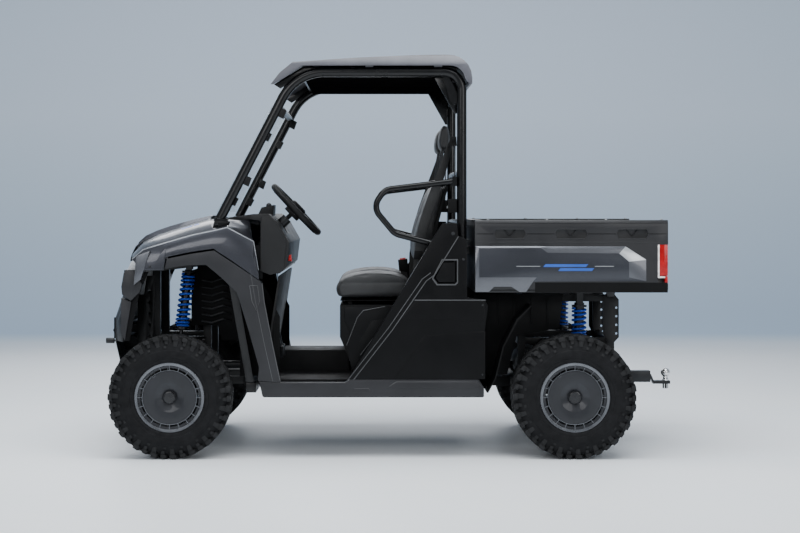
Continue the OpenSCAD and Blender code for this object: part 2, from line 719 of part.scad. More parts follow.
roof_side = concat([[600, 1886], [554, 1945], [488, 1999]], [[200, 2020], [-120, 2036]], [[-290, 2039]],
    arc([-300, 1917], 122, 88, 178, 6), [[-422, 1890]]);
module roof() {
    color("#3a3c40") {
        difference() {
            intersection() {
                side_plate(concat(roof_side, [[-410, 1890], [-395, 1900]], arc([-310, 1905], 76, 170, 92,
                    6),
                    [[440, 1975.4 + 5], [520, 1925], [586, 1886]]), -650, 1300);
                front_plate([[-640, 1700], [640, 1700], [640, 1990], [622, 2024], [580, 2060], [-580,
                    2060], [-622, 2024],
                    [-640, 1990]], -500, 1200);
            }
            side_plate(concat([[-400, 1880], [440, 1880], [430, 1986]], [[100, 2000], [-290, 2014]],
                arc([-308, 1905], 98, 92, 176, 6)), -627, 1254);
            side_plate([[430, 1986], [440, 1880], [640, 1880], [560, 1930.3], [488, 1986]], -627, 1254);
        }
        for (x = [100, -250]) pair() block([x - 20, cage_y - 20, cage_z + cage_d/2 + seat_gap], [x + 20,
            cage_y + 20, 2006]);
    }
}

// Places things along a pillar, with +Z up the pillar and +X ahead of it
module pillar_frame() {
    translate([foot[0], 0, foot[1]]) rotate([0, atan2(pillar_dir[0], pillar_dir[1]), 0]) children();
}
module windshield() {
    color([0.75, 0.85, 0.9, 0.35]) pillar_frame()
        translate([cage_d/2 + seat_gap, -cage_y + 2, 22]) cube([5, 2*cage_y - 4, 628]);
    color("#222426") pair() pillar_frame()
        for (z = [96, 556]) translate([cage_d/2 + 5 + 2*seat_gap, cage_y - 34, z]) cube([8, 30, 44]);
}

guard_bar = [[-326, 1394], [22, 1352], [82, 1262], [-30, 1128], [-326, 1050]];
guard_d = 31;
module guard_bars() {
    color("#1c1e20") pair() {
        translate([0, cage_y + 12, 0]) rotate([90, 0, 0]) bent_tube(guard_bar, [0, 70, 70, 70, 0], guard_d);
        for (p = [guard_bar[0], guard_bar[4]])
            block([post_x + rail/2 + seat_gap, cage_y - 12, p[1] - 24], [post_x + 50, cage_y + 30,
                p[1] + 24]);
    }
}

bed_in_front = bed_front - bed_wall;
module bed_profile(low, high) {
    polygon([[bed_y - bed_wall, low], [bed_y - 14, low], [bed_y, low + 20], [bed_y, high - 18],
        [bed_y - 10, high],
        [bed_y - bed_wall, high]]);
}
module cargo_bed() {
    gate_in = bed_rear + gate_t + shut_gap;
    color("#2b2d30") {
        block([gate_in, -bed_y + bed_wall, bed_z], [bed_front, bed_y - bed_wall, bed_z + bed_floor_t]);
        block([bed_in_front, -bed_y + bed_wall, bed_z], [bed_front, bed_y - bed_wall, bed_top]);
        for (i = [0:7]) block([gate_in, -540 + i*140, bed_z + bed_floor_t], [bed_in_front, -440 + i*140,
            bed_z + bed_floor_t + 8]);
        pair() {
            difference() {
                translate([bed_rear, 0, 0]) rotate([90, 0, 90]) linear_extrude(bed_l) bed_profile(bed_z,
                    bed_top);
                for (x = [bed_front - 176, bed_front - 484, bed_front - 793])
                    side_plate([[x - 82, bed_top - 70], [x - 68, bed_top - 94], [x + 68, bed_top - 94],
                        [x + 82, bed_top - 70],
                        [x + 70, bed_top - 46], [x - 70, bed_top - 46]], bed_y - 26, 40);
                block([bed_rear - eps, bed_y - 34, bed_z + 46], [bed_rear + 52, bed_y + eps, bed_z + 242]);
                block([bed_rear - eps, bed_y - bed_wall - eps, bed_z - eps],
                    [bed_rear + 34, bed_y - bed_wall + 14, bed_z + 36]);
                y_rod(gate_hinge[0], gate_hinge[1], bed_y - bed_wall - eps, bed_y - 18,
                    hinge_pin_d + 2*run_gap);
            }
            block([-1260, 205, bed_z - 12], [bed_front - 80, 245, bed_z]);
            side_plate([[bed_hinge[0] - 16, bed_hinge[1] - 16], [bed_hinge[0] + 16, bed_hinge[1] - 16],
                [bed_hinge[0] + 30, bed_z], [bed_hinge[0] - 30, bed_z]], rear_rail_y + 34, 14);
            y_rod(bed_hinge[0], bed_hinge[1], rear_rail_y + 22, rear_rail_y + 40, hinge_pin_d);
        }
    }
}

trim_side = [[-436, bed_z + 3], [-543, bed_z + 3], [-566, bed_z + 28], [-620, bed_z + 28], [-650,
    bed_z + 3],
    [-676, bed_z + 3], [-728, bed_z + 56], [-1290, bed_z + 56], [-1300, bed_z + 66], [-1300, bed_z + 176],
    [-1190, bed_z + 236], [-440, bed_z + 236]];
module bed_trim() {
    color("#62666d") pair() {
        side_plate([for (i = [len(trim_side) - 1:-1:0]) trim_side[i]], bed_y + seat_gap, 5);
        side_plate([[-1286, bed_z + 72], [-1286, bed_z + 168], [-1186, bed_z + 222], [-760, bed_z + 222],
            [-740, bed_z + 206],
            [-700, bed_z + 206], [-700, bed_z + 72]], bed_y + 5 + seat_gap, 4);
    }
}

module tail_lights() {
    color("#b4141c") pair()
        block([bed_rear + 2, bed_y - 34 + seat_gap, bed_z + 46 + seat_gap], [bed_rear + 52 - seat_gap,
            bed_y - 2, bed_z + 242 - seat_gap]);
}

gate_y = bed_y - bed_wall - 4;
module tailgate() {
    color("#2b2d30") {
        difference() {
            block([bed_rear, -gate_y, bed_z + 37], [bed_rear + gate_t, gate_y, bed_top - 8]);
            for (y = [-420, -140, 140]) block([bed_rear - eps, y, bed_z + 80], [bed_rear + 8,
                y + 280 - 30, bed_top - 110]);
            block([bed_rear - eps, -90, bed_top - 76], [bed_rear + 22, 90, bed_top - 36]);
        }
        pair() {
            y_rod(gate_hinge[0], gate_hinge[1], bed_y - bed_wall - 30, bed_y - 20, hinge_pin_d);
            block([gate_hinge[0] - 8, gate_y - 26, gate_hinge[1] - 8], [gate_hinge[0] + 18, gate_y - 2,
                bed_z + 38]);
        }
        block([bed_rear - 14, -110, bed_top - 92], [bed_rear - 4, 110, bed_top - 84]);
        for (y = [-110, 98]) block([bed_rear - 14, y, bed_top - 92], [bed_rear + 1, y + 12, bed_top - 84]);
    }
}

hitch_z = 350;
ball_x = -1505.5;
module tow_hitch() {
    color("#1d1f21") {
        difference() {
            bar([-1240 - seat_gap, 0, hitch_z - 3], [-1420, 0, hitch_z - 3], receiver, receiver);
            bar([-1262, 0, hitch_z - 3], [-1421, 0, hitch_z - 3], receiver - 10, receiver - 10);
        }
        side_plate([[-1300, hitch_z - 16], [-1300, hitch_z + 10], [-1424, hitch_z + 10], [-1440,
            hitch_z - 27],
            [-1528, hitch_z - 27], [-1528, hitch_z - 43], [-1436, hitch_z - 43], [-1424, hitch_z - 16]],
                -receiver/2 + 5.4, receiver - 10.8);
    }
    color("#d8dadc") {
        translate([ball_x, 0, hitch_z - 27 + seat_gap]) rotate_extrude()
            polygon(concat([[0, 0], [16, 0], [16, 8], [11, 14], [11, 24]],
                arc([0, 43], ball_d/2, -50, 90, 12)));
        translate([ball_x, 0, hitch_z - 43 - 26]) cylinder(h = 26 - seat_gap, d = 30);
    }
}

winch_z = 540;
module winch() {
    color("#26282a") {
        y_rod(1372, winch_z, -70, 70, 60);
        pair() y_rod(1372, winch_z, 70, 160, 76);
        block([1330 + seat_gap, -front_rail_y - 15, winch_z - 40], [1398, front_rail_y + 15, winch_z - 32]);
    }
    color("#d9dadb") {
        block([1436 + seat_gap, -60, winch_z - 16], [1447, 60, winch_z + 26]);
        tube([1440, 0, winch_z], [1530.5, 0, winch_z], 12);
        tube([1486, 0, winch_z], [1530.5, 0, winch_z], 30);
    }
}

module pedals() {
    color("#1b1c1e") {
        for (y = [250, 370]) {
            bar([587, y, 640], [560, y, 520], 12, 12);
            block([548, y - 32, 480], [566, y + 32, 540]);
        }
        translate([640, 120, 1228 + seat_gap]) cylinder(h = 42, d = 14);
        translate([640, 120, 1272]) sphere(d = 30);
    }
}

module steering_wheel() {
    color("#1b1c1e") steer_frame() {
        rotate_extrude() translate([steering_wheel_d/2 - 17, 0]) circle(d = 34);
        translate([0, 0, -40]) cylinder(h = 34, d = 92);
        translate([0, 0, -24]) for (a = [90, 210, 330]) rotate([0, 0, a]) translate([30, -15, 0])
            cube([steering_wheel_d/2 - 44, 30, 14]);
        translate([0, 0, -210]) cylinder(h = 180, d = column_d);
    }
}

// Distance from a wheel's middle plane to the outer face of its disc
function hub_out(w) = w/2 - 18;
module knuckle() {
    difference() {
        union() {
            y_rod(front_x, hub_z, kingpin_y - 23, kingpin_y + 34, 100);
            translate([front_x, kingpin_y, ball_low + seat_gap]) cylinder(h = ball_spread - 2*seat_gap,
                d = 40);
            bar([front_x, kingpin_y - 4, rack[1] + 15], [front_x + arm_out[0], kingpin_y + arm_out[1],
                rack[1] + 15], 10, 24);
            translate([front_x + arm_out[0], kingpin_y + arm_out[1], rack[1] + 9]) cylinder(h = 12, d = 34);
        }
        y_rod(front_x, hub_z, kingpin_y - 30, kingpin_y + 26, 80);
        translate([front_x, kingpin_y, ball_low - 1]) cylinder(h = 31, d = ball_pin_d + 2*run_gap);
        translate([front_x, kingpin_y, ball_high - 30]) cylinder(h = 31, d = ball_pin_d + 2*run_gap);
    }
    y_rod(front_x, hub_z, kingpin_y + 34, front_y + hub_out(front_tyre_w) - 8, spindle_d);
}
module left_knuckle() {
    color("#4a4d50") knuckle();
}
module right_knuckle() {
    color("#4a4d50") mirror([0, 1, 0]) knuckle();
}

// Places a wheel built around the Z axis, with its outer face towards +Z
module wheel_at(x, y, side) {
    translate([x, side*y, hub_z]) rotate([-90*side, 0, 0]) children();
}
seat_r = 153;
// Carcass of a tyre, open between the beads
module tyre(w) {
    r = tyre_d/2;
    h = w/2;
    side = [[seat_r, h - 23.5], [rim_d/2 + 1, h - 16.6], [rim_d/2 + 1, h - 8], [0.5*(r + seat_r) + 10, h],
        [r - 36, h - 3], [r - 14, h - 10], [r - 4, h - 26], [r, h*0.4]];
    inner = [[seat_r, h - 38], [rim_d/2, h - 30], [0.5*(r + seat_r) + 6, h - 12], [r - 40, h - 16],
        [r - 24, h - 30]];
    rotate_extrude($fn = 96) polygon(concat(side, [for (i = [7:-1:0]) [side[i][0], -side[i][1]]],
        [for (p = inner) [p[0], -p[1]]], [for (i = [4:-1:0]) inner[i]]));
}
module tyre_colour() {
    color("#232426") children();
}
module front_left_tyre() { tyre_colour() wheel_at(front_x, front_y, 1) tyre(front_tyre_w); }
module front_right_tyre() { tyre_colour() wheel_at(front_x, front_y, -1) tyre(front_tyre_w); }
module rear_left_tyre() { tyre_colour() wheel_at(rear_x, rear_y, 1) tyre(rear_tyre_w); }
module rear_right_tyre() { tyre_colour() wheel_at(rear_x, rear_y, -1) tyre(rear_tyre_w); }

// Rim with its vented disc near the outer face
module rim(w) {
    h = w/2 - 12;
    out = hub_out(w);
    b = seat_r - seat_gap;
    difference() {
        union() {
            rotate_extrude() polygon([[b - 6, -h], [rim_d/2, -h], [rim_d/2, -h + 4], [b, -h + 4 + 6], [b,
                h - 10],
                [rim_d/2, h - 4], [rim_d/2, h], [b - 6, h]]);
            rotate_extrude() polygon([[0, out - 16], [70, out - 8], [b - 5, out - 6], [b - 5, out], [72,
                out],
                [34, out - 10], [29, out - 10], [29, out], [0, out]]);
            translate([0, 0, out - 50]) cylinder(h = 36, d = spindle_d + 32);
        }
        translate([0, 0, out - 51]) cylinder(h = 43.5, d = spindle_d + 2*run_gap);
        for (i = [0:vent_count - 1]) rotate([0, 0, i*360/vent_count]) translate([130, -16, out - 12])
            cube([17 + (i == 0 ? 1 : 0), 32, 16]);
    }
}
module rim_colour() {
    color("#4a4d52") children();
}
module front_left_rim() { rim_colour() wheel_at(front_x, front_y, 1) rim(front_tyre_w); }
module front_right_rim() { rim_colour() wheel_at(front_x, front_y, -1) rim(front_tyre_w); }
module rear_left_rim() { rim_colour() wheel_at(rear_x, rear_y, 1) rim(rear_tyre_w); }
module rear_right_rim() { rim_colour() wheel_at(rear_x, rear_y, -1) rim(rear_tyre_w); }

chassis_frame();
cab_posts();
front_subframe();
rear_subframe();
battery_pack();
drive_motor();
front_differential();
drive_shafts();
suspension_arms();
rear_uprights();
dampers();
springs();
steering_gear();
tie_rods();
front_bumper();
headlights();
hood();
front_fenders();
fender_flares();
dash();
floor_pan();
side_sills();
seat_base();
side_panels();
charge_flap();
wheel_liners();
seat_cushions();
seat_backs();
head_rests();
seat_belts();
roll_cage();
roof();
windshield();
guard_bars();
cargo_bed();
bed_trim();
tail_lights();
tailgate();
tow_hitch();
winch();
pedals();
steering_wheel();
left_knuckle();
right_knuckle();
front_left_tyre();
front_right_tyre();
rear_left_tyre();
rear_right_tyre();
front_left_rim();
front_right_rim();
rear_left_rim();
rear_right_rim();
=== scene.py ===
import math

import bmesh
import bpy
from mathutils import Matrix, Vector


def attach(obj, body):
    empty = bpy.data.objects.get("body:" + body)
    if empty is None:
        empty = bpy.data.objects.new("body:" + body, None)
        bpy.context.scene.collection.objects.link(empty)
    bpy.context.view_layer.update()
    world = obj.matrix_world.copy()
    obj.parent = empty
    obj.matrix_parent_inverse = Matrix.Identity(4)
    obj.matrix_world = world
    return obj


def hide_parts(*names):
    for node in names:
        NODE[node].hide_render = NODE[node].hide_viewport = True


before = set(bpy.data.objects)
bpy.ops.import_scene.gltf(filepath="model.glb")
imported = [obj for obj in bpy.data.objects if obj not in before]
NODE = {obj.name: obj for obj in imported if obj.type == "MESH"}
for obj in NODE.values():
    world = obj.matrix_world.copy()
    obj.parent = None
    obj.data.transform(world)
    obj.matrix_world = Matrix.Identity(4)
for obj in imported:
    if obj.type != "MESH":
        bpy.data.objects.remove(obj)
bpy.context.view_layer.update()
S = bpy.context.scene

# Metres, with +X ahead, +Y to the left and +Z up.

# ---------------------------------------------------------------- camera and lights


def look(obj, at):
    obj.rotation_mode = "QUATERNION"
    obj.rotation_quaternion = (Vector(at) - obj.location).to_track_quat("-Z", "Y")


cam_data = bpy.data.cameras.new("camera")
cam = bpy.data.objects.new("camera", cam_data)
S.collection.objects.link(cam)
S.camera = cam
cam_data.sensor_width = 36
cam_data.lens = 78.3
cam.location = (0.07, 9.45, 1.25)
cam.rotation_mode = "XYZ"
cam.rotation_euler = (math.radians(90), 0, math.radians(180))
cam_data.shift_x = 0.031
cam_data.shift_y = -0.071
cam_data.clip_end = 100


def lamp(name, at, to, size, power, colour=(1, 1, 1)):
    d = bpy.data.lights.new(name, "AREA")
    d.shape = "RECTANGLE"
    d.size, d.size_y = size
    d.energy = power
    d.color = colour
    o = bpy.data.objects.new(name, d)
    S.collection.objects.link(o)
    o.location = at
    look(o, to)
    return o


lamp("top_light", (0.2, 1.0, 5.2), (0, 0, 0.8), (6.5, 4.0), 490, (0.93, 0.97, 1))
lamp("front_light", (2.6, 6.5, 3.4), (0.2, 0, 0.9), (4.0, 2.0), 110)
lamp("rear_light", (-3.6, 5.0, 2.6), (-0.5, 0, 0.9), (2.4, 2.4), 70)
lamp("far_light", (0.5, -5.5, 3.4), (0, 0, 1.0), (5.0, 2.0), 110)

world = bpy.data.worlds.new("studio")
S.world = world
world.use_nodes = True
bg = world.node_tree.nodes["Background"]
bg.inputs[0].default_value = (0.72, 0.78, 0.84, 1)
bg.inputs[1].default_value = 0.5

# ---------------------------------------------------------------- materials


class Nodes:
    """Short ways to add nodes to one material."""

    def __init__(self, name, metallic=0.0, rough=0.5, coat=0.0, **sockets):
        self.m = bpy.data.materials.new(name)
        self.m.use_nodes = True
        self.t = self.m.node_tree
        self.b = self.t.nodes["Principled BSDF"]
        self.b.inputs["Metallic"].default_value = metallic
        self.b.inputs["Roughness"].default_value = rough
        self.b.inputs["Coat Weight"].default_value = coat
        for k, v in sockets.items():
            self.b.inputs[k.replace("_", " ")].default_value = v
        self.where = self.t.nodes.new("ShaderNodeTexCoord").outputs["Object"]

    def put(self, v, socket):
        """Links an output to a socket, or sets the socket's constant."""
        if isinstance(v, bpy.types.NodeSocket):
            self.t.links.new(v, socket)
        else:
            socket.default_value = v

    def add(self, kind, values=None, **props):
        n = self.t.nodes.new("ShaderNode" + kind)
        for k, v in props.items():
            setattr(n, k, v)
        for k, v in (values or {}).items():
            self.put(v, n.inputs[k])
        return n

    def cloud(self, scale, detail=4.0):
        values = {"Vector": self.where, "Scale": scale, "Detail": detail, "Roughness": 0.55}
        return self.add("TexNoise", values).outputs["Fac"]

    def cells(self, scale):
        values = {"Vector": self.where, "Scale": scale}
        return self.add("TexVoronoi", values, feature="SMOOTH_F1").outputs["Distance"]

    def ramp(self, fac, *stops):
        r = self.add("ValToRGB", {"Fac": fac})
        e = r.color_ramp.elements
        while len(e) < len(stops):
            e.new(0.5)
        for el, (p, c) in zip(e, stops):
            el.position = p
            el.color = (*c, 1)
        return r.outputs["Color"]

    def spread(self, fac, low, high, a=0.3, b=0.7):
        """Maps a to b onto low to high."""
        values = {"Value": fac, "From Min": a, "From Max": b, "To Min": low, "To Max": high}
        return self.add("MapRange", values).outputs["Result"]

    def math(self, op, a, b):
        return self.add("Math", {0: a, 1: b}, operation=op).outputs[0]

    def axis(self, name):
        return self.add("SeparateXYZ", {0: self.where}).outputs[name]

    def mix(self, fac, a, b):
        n = self.add("Mix", {"Factor": fac}, data_type="RGBA")
        for k, v in ((6, a), (7, b)):
            self.put(v if isinstance(v, bpy.types.NodeSocket) else (*v, 1), n.inputs[k])
        return n.outputs[2]

    def colour(self, out):
        self.put(out, self.b.inputs["Base Color"])

    def tones(self, c, scale, detail, dark, light, low=0.3, high=0.7):
        """A colour that drifts between two shades of c."""
        return self.ramp(self.cloud(scale, detail), (low, shade(c, dark)), (high, shade(c, light)))

    def polish(self, scale, low, high, detail=4.0):
        """Roughness that drifts between two values."""
        self.put(self.spread(self.cloud(scale, detail), low, high), self.b.inputs["Roughness"])

    def bump(self, height, strength, distance):
        """Adds a bump on top of those that are there."""
        prev = self.b.inputs["Normal"].links
        n = self.add("Bump", {"Height": height, "Strength": strength, "Distance": distance})
        if prev:
            self.put(prev[0].from_socket, n.inputs["Normal"])
        self.put(n.outputs[0], self.b.inputs["Normal"])


def shade(c, k):
    return tuple(min(1, x * k) for x in c)


def plastic(name, c, rough, grain=900, depth=0.25, spec=0.5):
    """Moulded plastic: fine leather like grain over soft waves, with a slight change of tone."""
    n = Nodes(name, rough=rough, Specular_IOR_Level=spec)
    n.colour(n.tones(c, 6, 3, 0.82, 1.2))
    n.polish(14, rough - 0.07, rough + 0.09)
    n.bump(n.cells(grain), depth, 0.0004)
    n.bump(n.cloud(5, 2), 0.12, 0.004)
    return n.m


def metal(name, c, rough, metallic, coat=0.0, grain=0.18):
    """Metal with cast or brushed grain and small changes in polish."""
    n = Nodes(name, metallic=metallic, rough=rough, coat=coat)
    n.colour(n.tones(c, 9, 4, 0.85, 1.15))
    n.polish(30, rough - 0.08, rough + 0.1)
    n.bump(n.cloud(220, 6), grain, 0.0005)
    return n.m


# The tow ball lies behind this X and above this Z
BALL_FRONT_X, BALL_SEAT_Z = -1.4795, 0.326


def hitch_metal(name, dark, bright):
    """Dark steel, with the ball and its shank, the rearmost and upper part, in bright steel."""
    n = Nodes(name, metallic=0.9, rough=0.3)
    behind = n.math("LESS_THAN", n.axis("X"), BALL_FRONT_X)
    ball = n.math("MULTIPLY", behind, n.math("GREATER_THAN", n.axis("Z"), BALL_SEAT_Z))
    polished = n.ramp(n.cloud(9), (0.3, shade(bright, 0.9)), (0.7, bright))
    n.colour(n.mix(ball, n.tones(dark, 9, 4, 0.85, 1.15), polished))
    n.put(n.spread(ball, 0.4, 0.14, 0, 1), n.b.inputs["Roughness"])
    n.bump(n.cloud(220, 6), 0.1, 0.0003)
    return n.m


def powder(name, c, rough):
    """Powder coat on steel: gloss black with a faint orange peel."""
    n = Nodes(name, rough=rough, coat=0.08, Coat_Roughness=0.2, Specular_IOR_Level=0.3)
    n.colour(n.tones(c, 7, 2, 0.85, 1.25, 0.35))
    n.polish(20, rough - 0.06, rough + 0.08)
    n.bump(n.cloud(420, 2), 0.22, 0.0004)
    return n.m


def paint(name, c, flake=(0.2, 0.21, 0.24)):
    """Metallic body paint: dark base, fine flakes, clear coat."""
    n = Nodes(name, metallic=0.75, rough=0.34, coat=0.45, Coat_Roughness=0.06)
    spark = n.add("TexVoronoi", {"Vector": n.where, "Scale": 1900.0}).outputs["Color"]
    lit = n.add("SeparateColor", {0: spark}).outputs[0]
    base = n.tones(c, 3, 2, 0.93, 1.08, 0.35)
    n.colour(n.mix(n.math("MULTIPLY", n.spread(lit, 0, 1, 0.55, 1.0), 0.35), base, flake))
    n.polish(8, 0.29, 0.38)
    n.bump(n.cloud(260, 2), 0.03, 0.0004)
    return n.m


def vinyl(name, c):
    """Seat vinyl: pebbled grain, soft folds and a light sheen."""
    n = Nodes(name, rough=0.52, Specular_IOR_Level=0.4, Sheen_Weight=0.05, Sheen_Roughness=0.5)
    n.colour(n.tones(c, 10, 3, 0.8, 1.25, 0.3, 0.72))
    n.polish(22, 0.44, 0.62)
    n.bump(n.cells(520.0), 0.35, 0.0006)
    n.bump(n.cloud(38, 5), 0.25, 0.002)
    return n.m


def rubber(name, c, rough=0.78):
    """Rubber: matt, uneven in tone, with a fine mould texture."""
    n = Nodes(name, rough=rough, Specular_IOR_Level=0.22)
    n.colour(n.tones(c, 12, 5, 0.75, 1.35))
    n.polish(40, rough - 0.1, rough + 0.1)
    n.bump(n.cloud(700, 3), 0.25, 0.0005)
    return n.m


def waves(n, scale, distortion, axis, strength, distance):
    values = {"Vector": n.where, "Scale": scale, "Distortion": distortion}
    n.bump(n.add("TexWave", values, bands_direction=axis).outputs["Fac"], strength, distance)


def webbing(name, c):
    """Woven belt: ribs in Z and a wider twill in X."""
    n = Nodes(name, rough=0.62, Sheen_Weight=0.08)
    n.colour(n.tones(c, 60, 4, 0.8, 1.3))
    per_metre = 1 / 0.0016 / 6.28
    waves(n, per_metre, 0.4, "Z", 0.35, 0.0006)
    waves(n, 0.35 * per_metre, 0.4, "X", 0.35, 0.0006)
    return n.m


def lamp_lens(name, c, glow, rough=0.08):
    """Clear or tinted lamp cover with moulded optic ribs."""
    n = Nodes(name, rough=rough, coat=0.25, Specular_IOR_Level=0.3, Emission_Color=(*c, 1), Emission_Strength=glow)
    n.colour(n.tones(c, 40, 2, 0.7, 1.2, 0.35))
    waves(n, 40.0, 0.0, "Z", 0.3, 0.001)
    return n.m


def glass(name):
    """Hard coated clear screen with faint swirl marks."""
    n = Nodes(name, rough=0.03, Base_Color=(0.93, 0.97, 0.98, 1), Transmission_Weight=1.0, IOR=1.02, Alpha=0.18)
    n.polish(25, 0.02, 0.06, 6)
    n.bump(n.cloud(6, 2), 0.02, 0.001)
    return n.m


mat = {
    "paint": paint("gunmetal_paint", (0.031, 0.032, 0.040)),
    # A pale copy of the metallic paint, for a painted highlight on the bed trim's upper rear chamfer
    "trim_highlight_paint": paint("trim_highlight_paint", (0.42, 0.44, 0.46), (0.75, 0.77, 0.8)),
    "trim_paint": paint("bed_trim_paint", (0.026, 0.028, 0.036)),
    # A lighter copy of the trim paint: painted light on the bed trim's chamfer facets, and the colour of the nose strip
    "trim_mid": paint("bed_trim_facet", (0.085, 0.088, 0.10), (0.3, 0.31, 0.34)),
    # A pale copy of the metallic paint, for painted highlight lines along the fender crease and bonnet edge
    "crease_highlight_paint": paint("painted_crease_highlight", (0.24, 0.25, 0.27), (0.7, 0.72, 0.75)),
    # A lighter copy of the black plastic, for painted highlight lines on beads, lips and rims
    "bead_highlight_plastic": plastic("bead_highlight_plastic", (0.05, 0.051, 0.054), 0.38),
    "body_plastic": plastic("body_plastic", (0.0040, 0.0040, 0.0045), 0.42, spec=0.11),
    "flare_plastic": plastic("flare_plastic", (0.019, 0.019, 0.0215), 0.42, spec=0.30),
    "dark_plastic": plastic("dark_plastic", (0.003, 0.003, 0.0033), 0.55, spec=0.14),
    # Near black matt plastic with no specular: painted shade for the roof's underside
    "roof_underside_shade": plastic("roof_underside_shade", (0.0025, 0.0025, 0.0028), 0.95, spec=0.0),
    "floor_plastic": plastic("floor_plastic", (0.006, 0.006, 0.0065), 0.6, 600, 0.35, 0.25),
    "bed_plastic": plastic("bed_plastic", (0.013, 0.013, 0.015), 0.42, 700, 0.25, 0.4),
    "dash_plastic": plastic("dash_plastic", (0.008, 0.008, 0.0088), 0.5, 1200, 0.25, 0.3),
    "roof_plastic": plastic("roof_plastic", (0.078, 0.079, 0.093), 0.36, 700, 0.2),
    "black": powder("cage_black", (0.003, 0.003, 0.0035), 0.22),
    "frame": powder("frame_black", (0.004, 0.004, 0.0045), 0.4),
    "cast": metal("cast_alloy", (0.11, 0.115, 0.12), 0.5, 0.85),
    "steel": metal("worn_steel", (0.4, 0.41, 0.42), 0.34, 0.95),
    "dark_steel": metal("dark_steel", (0.03, 0.031, 0.033), 0.4, 0.8),
    "hitch": hitch_metal("hitch_metal", (0.03, 0.031, 0.033), (0.78, 0.79, 0.8)),
    "chrome": metal("chrome", (0.78, 0.79, 0.8), 0.12, 1.0, grain=0.08),
    "rim_dark": metal("rim_dark", (0.022, 0.023, 0.027), 0.42, 0.6, 0.2),
    "rim_silver": metal("rim_silver", (0.135, 0.14, 0.153), 0.3, 0.9, 0.3),
    "battery": metal("battery_case", (0.02, 0.021, 0.022), 0.5, 0.6),
    "spring": powder("spring_blue", (0.004, 0.045, 0.36), 0.25),
    "damper": metal("damper_black", (0.02, 0.02, 0.022), 0.3, 0.7, 0.3),
    "vinyl": vinyl("seat_vinyl", (0.0175, 0.0178, 0.0188)),
    "vinyl_grey": vinyl("seat_vinyl_grey", (0.023, 0.0235, 0.025)),
    "belt": webbing("belt_web", (0.006, 0.006, 0.0065)),
    "tyre": rubber("tyre_rubber", (0.0052, 0.0052, 0.006)),
    # Tread and sidewall blocks in a lighter rubber: partly dust, partly painted highlight
    "tread": rubber("tyre_tread", (0.012, 0.012, 0.0128), 0.66),
    "grip": rubber("grip_rubber", (0.005, 0.005, 0.0055), 0.55),
    "red_lens": lamp_lens("tail_red", (0.36, 0.0008, 0.003), 0.2),
    "clear_lens": lamp_lens("lamp_clear", (0.75, 0.77, 0.8), 0.05),
    "pale_strip": lamp_lens("pale_strip", (0.8, 0.78, 0.76), 0.2, 0.2),
    "red": plastic("red_plastic", (0.5, 0.02, 0.02), 0.35),
    "blue": plastic("blue_accent", (0.02, 0.09, 0.42), 0.35),
    "silver": paint("silver_line", (0.5, 0.52, 0.54), (0.8, 0.8, 0.82)),
    "glass": glass("clear_screen"),
}


CORNERS = ("front_left", "front_right", "rear_left", "rear_right")
# Material of each CAD node, listed by material
NODE_LOOK = {
    "frame": "chassis_frame cab_posts front_subframe rear_subframe suspension_arms",
    "battery": "battery_pack",
    "cast": "drive_motor front_differential rear_uprights left_knuckle right_knuckle",
    "dark_steel": "drive_shafts steering_gear winch pedals",
    "steel": "tie_rods",
    "hitch": "tow_hitch",
    "damper": "dampers",
    "spring": "springs",
    "black": "roll_cage guard_bars",
    "paint": "hood front_fenders",
    "trim_paint": "bed_trim",
    "body_plastic": "front_bumper side_panels charge_flap",
    "flare_plastic": "fender_flares side_sills",
    "dark_plastic": "seat_base wheel_liners",
    "dash_plastic": "dash",
    "floor_plastic": "floor_pan",
    "roof_plastic": "roof",
    "bed_plastic": "cargo_bed tailgate",
    "vinyl": "seat_cushions seat_backs head_rests",
    "belt": "seat_belts",
    "clear_lens": "headlights",
    "red_lens": "tail_lights",
    "glass": "windshield",
    "grip": "steering_wheel",
    "tyre": " ".join(c + "_tyre" for c in CORNERS),
    "rim_dark": " ".join(c + "_rim" for c in CORNERS),
}
# Edge rounding of the CAD nodes, in mm
ROUNDED = {
    1.5: "charge_flap bed_trim",
    2: "tow_hitch winch hood front_fenders steering_wheel pedals",
    3: "front_bumper floor_pan tail_lights headlights chassis_frame cab_posts front_subframe rear_subframe"
       " wheel_liners",
    4: "fender_flares side_sills seat_base side_panels cargo_bed tailgate drive_motor",
    5: "roof",
    6: "dash battery_pack",
}


def round_edges(o, width, angle):
    """Rounds the edges sharper than angle by width."""
    b = o.modifiers.new("rounded", "BEVEL")
    b.width, b.segments, b.limit_method, b.angle_limit = width, 2, "ANGLE", math.radians(angle)


def split_edges(o, angle):
    o.modifiers.new("crisp", "EDGE_SPLIT").split_angle = math.radians(angle)


def by_name(listed):
    """Turns value: "name name" into name: value."""
    return {name: value for value, names in listed.items() for name in names.split()}


radius = by_name(ROUNDED)
for name, look_name in by_name(NODE_LOOK).items():
    o = NODE[name]
    o.data.materials.clear()
    o.data.materials.append(mat[look_name])
    o.modifiers.new("joined", "WELD").merge_threshold = 0.00002
    if name in radius:
        round_edges(o, radius[name] / 1000, 32)
    split_edges(o, 30)
    for f in o.data.polygons:
        f.use_smooth = True

# ---------------------------------------------------------------- shape building


def tube_faces(rows, sides):
    """Faces of a capped tube whose points come row by row."""
    f = [(i * sides + j, i * sides + (j + 1) % sides, (i + 1) * sides + (j + 1) % sides, (i + 1) * sides + j)
         for i in range(rows - 1) for j in range(sides)]
    return f + [tuple(range(sides - 1, -1, -1)), tuple((rows - 1) * sides + j for j in range(sides))]


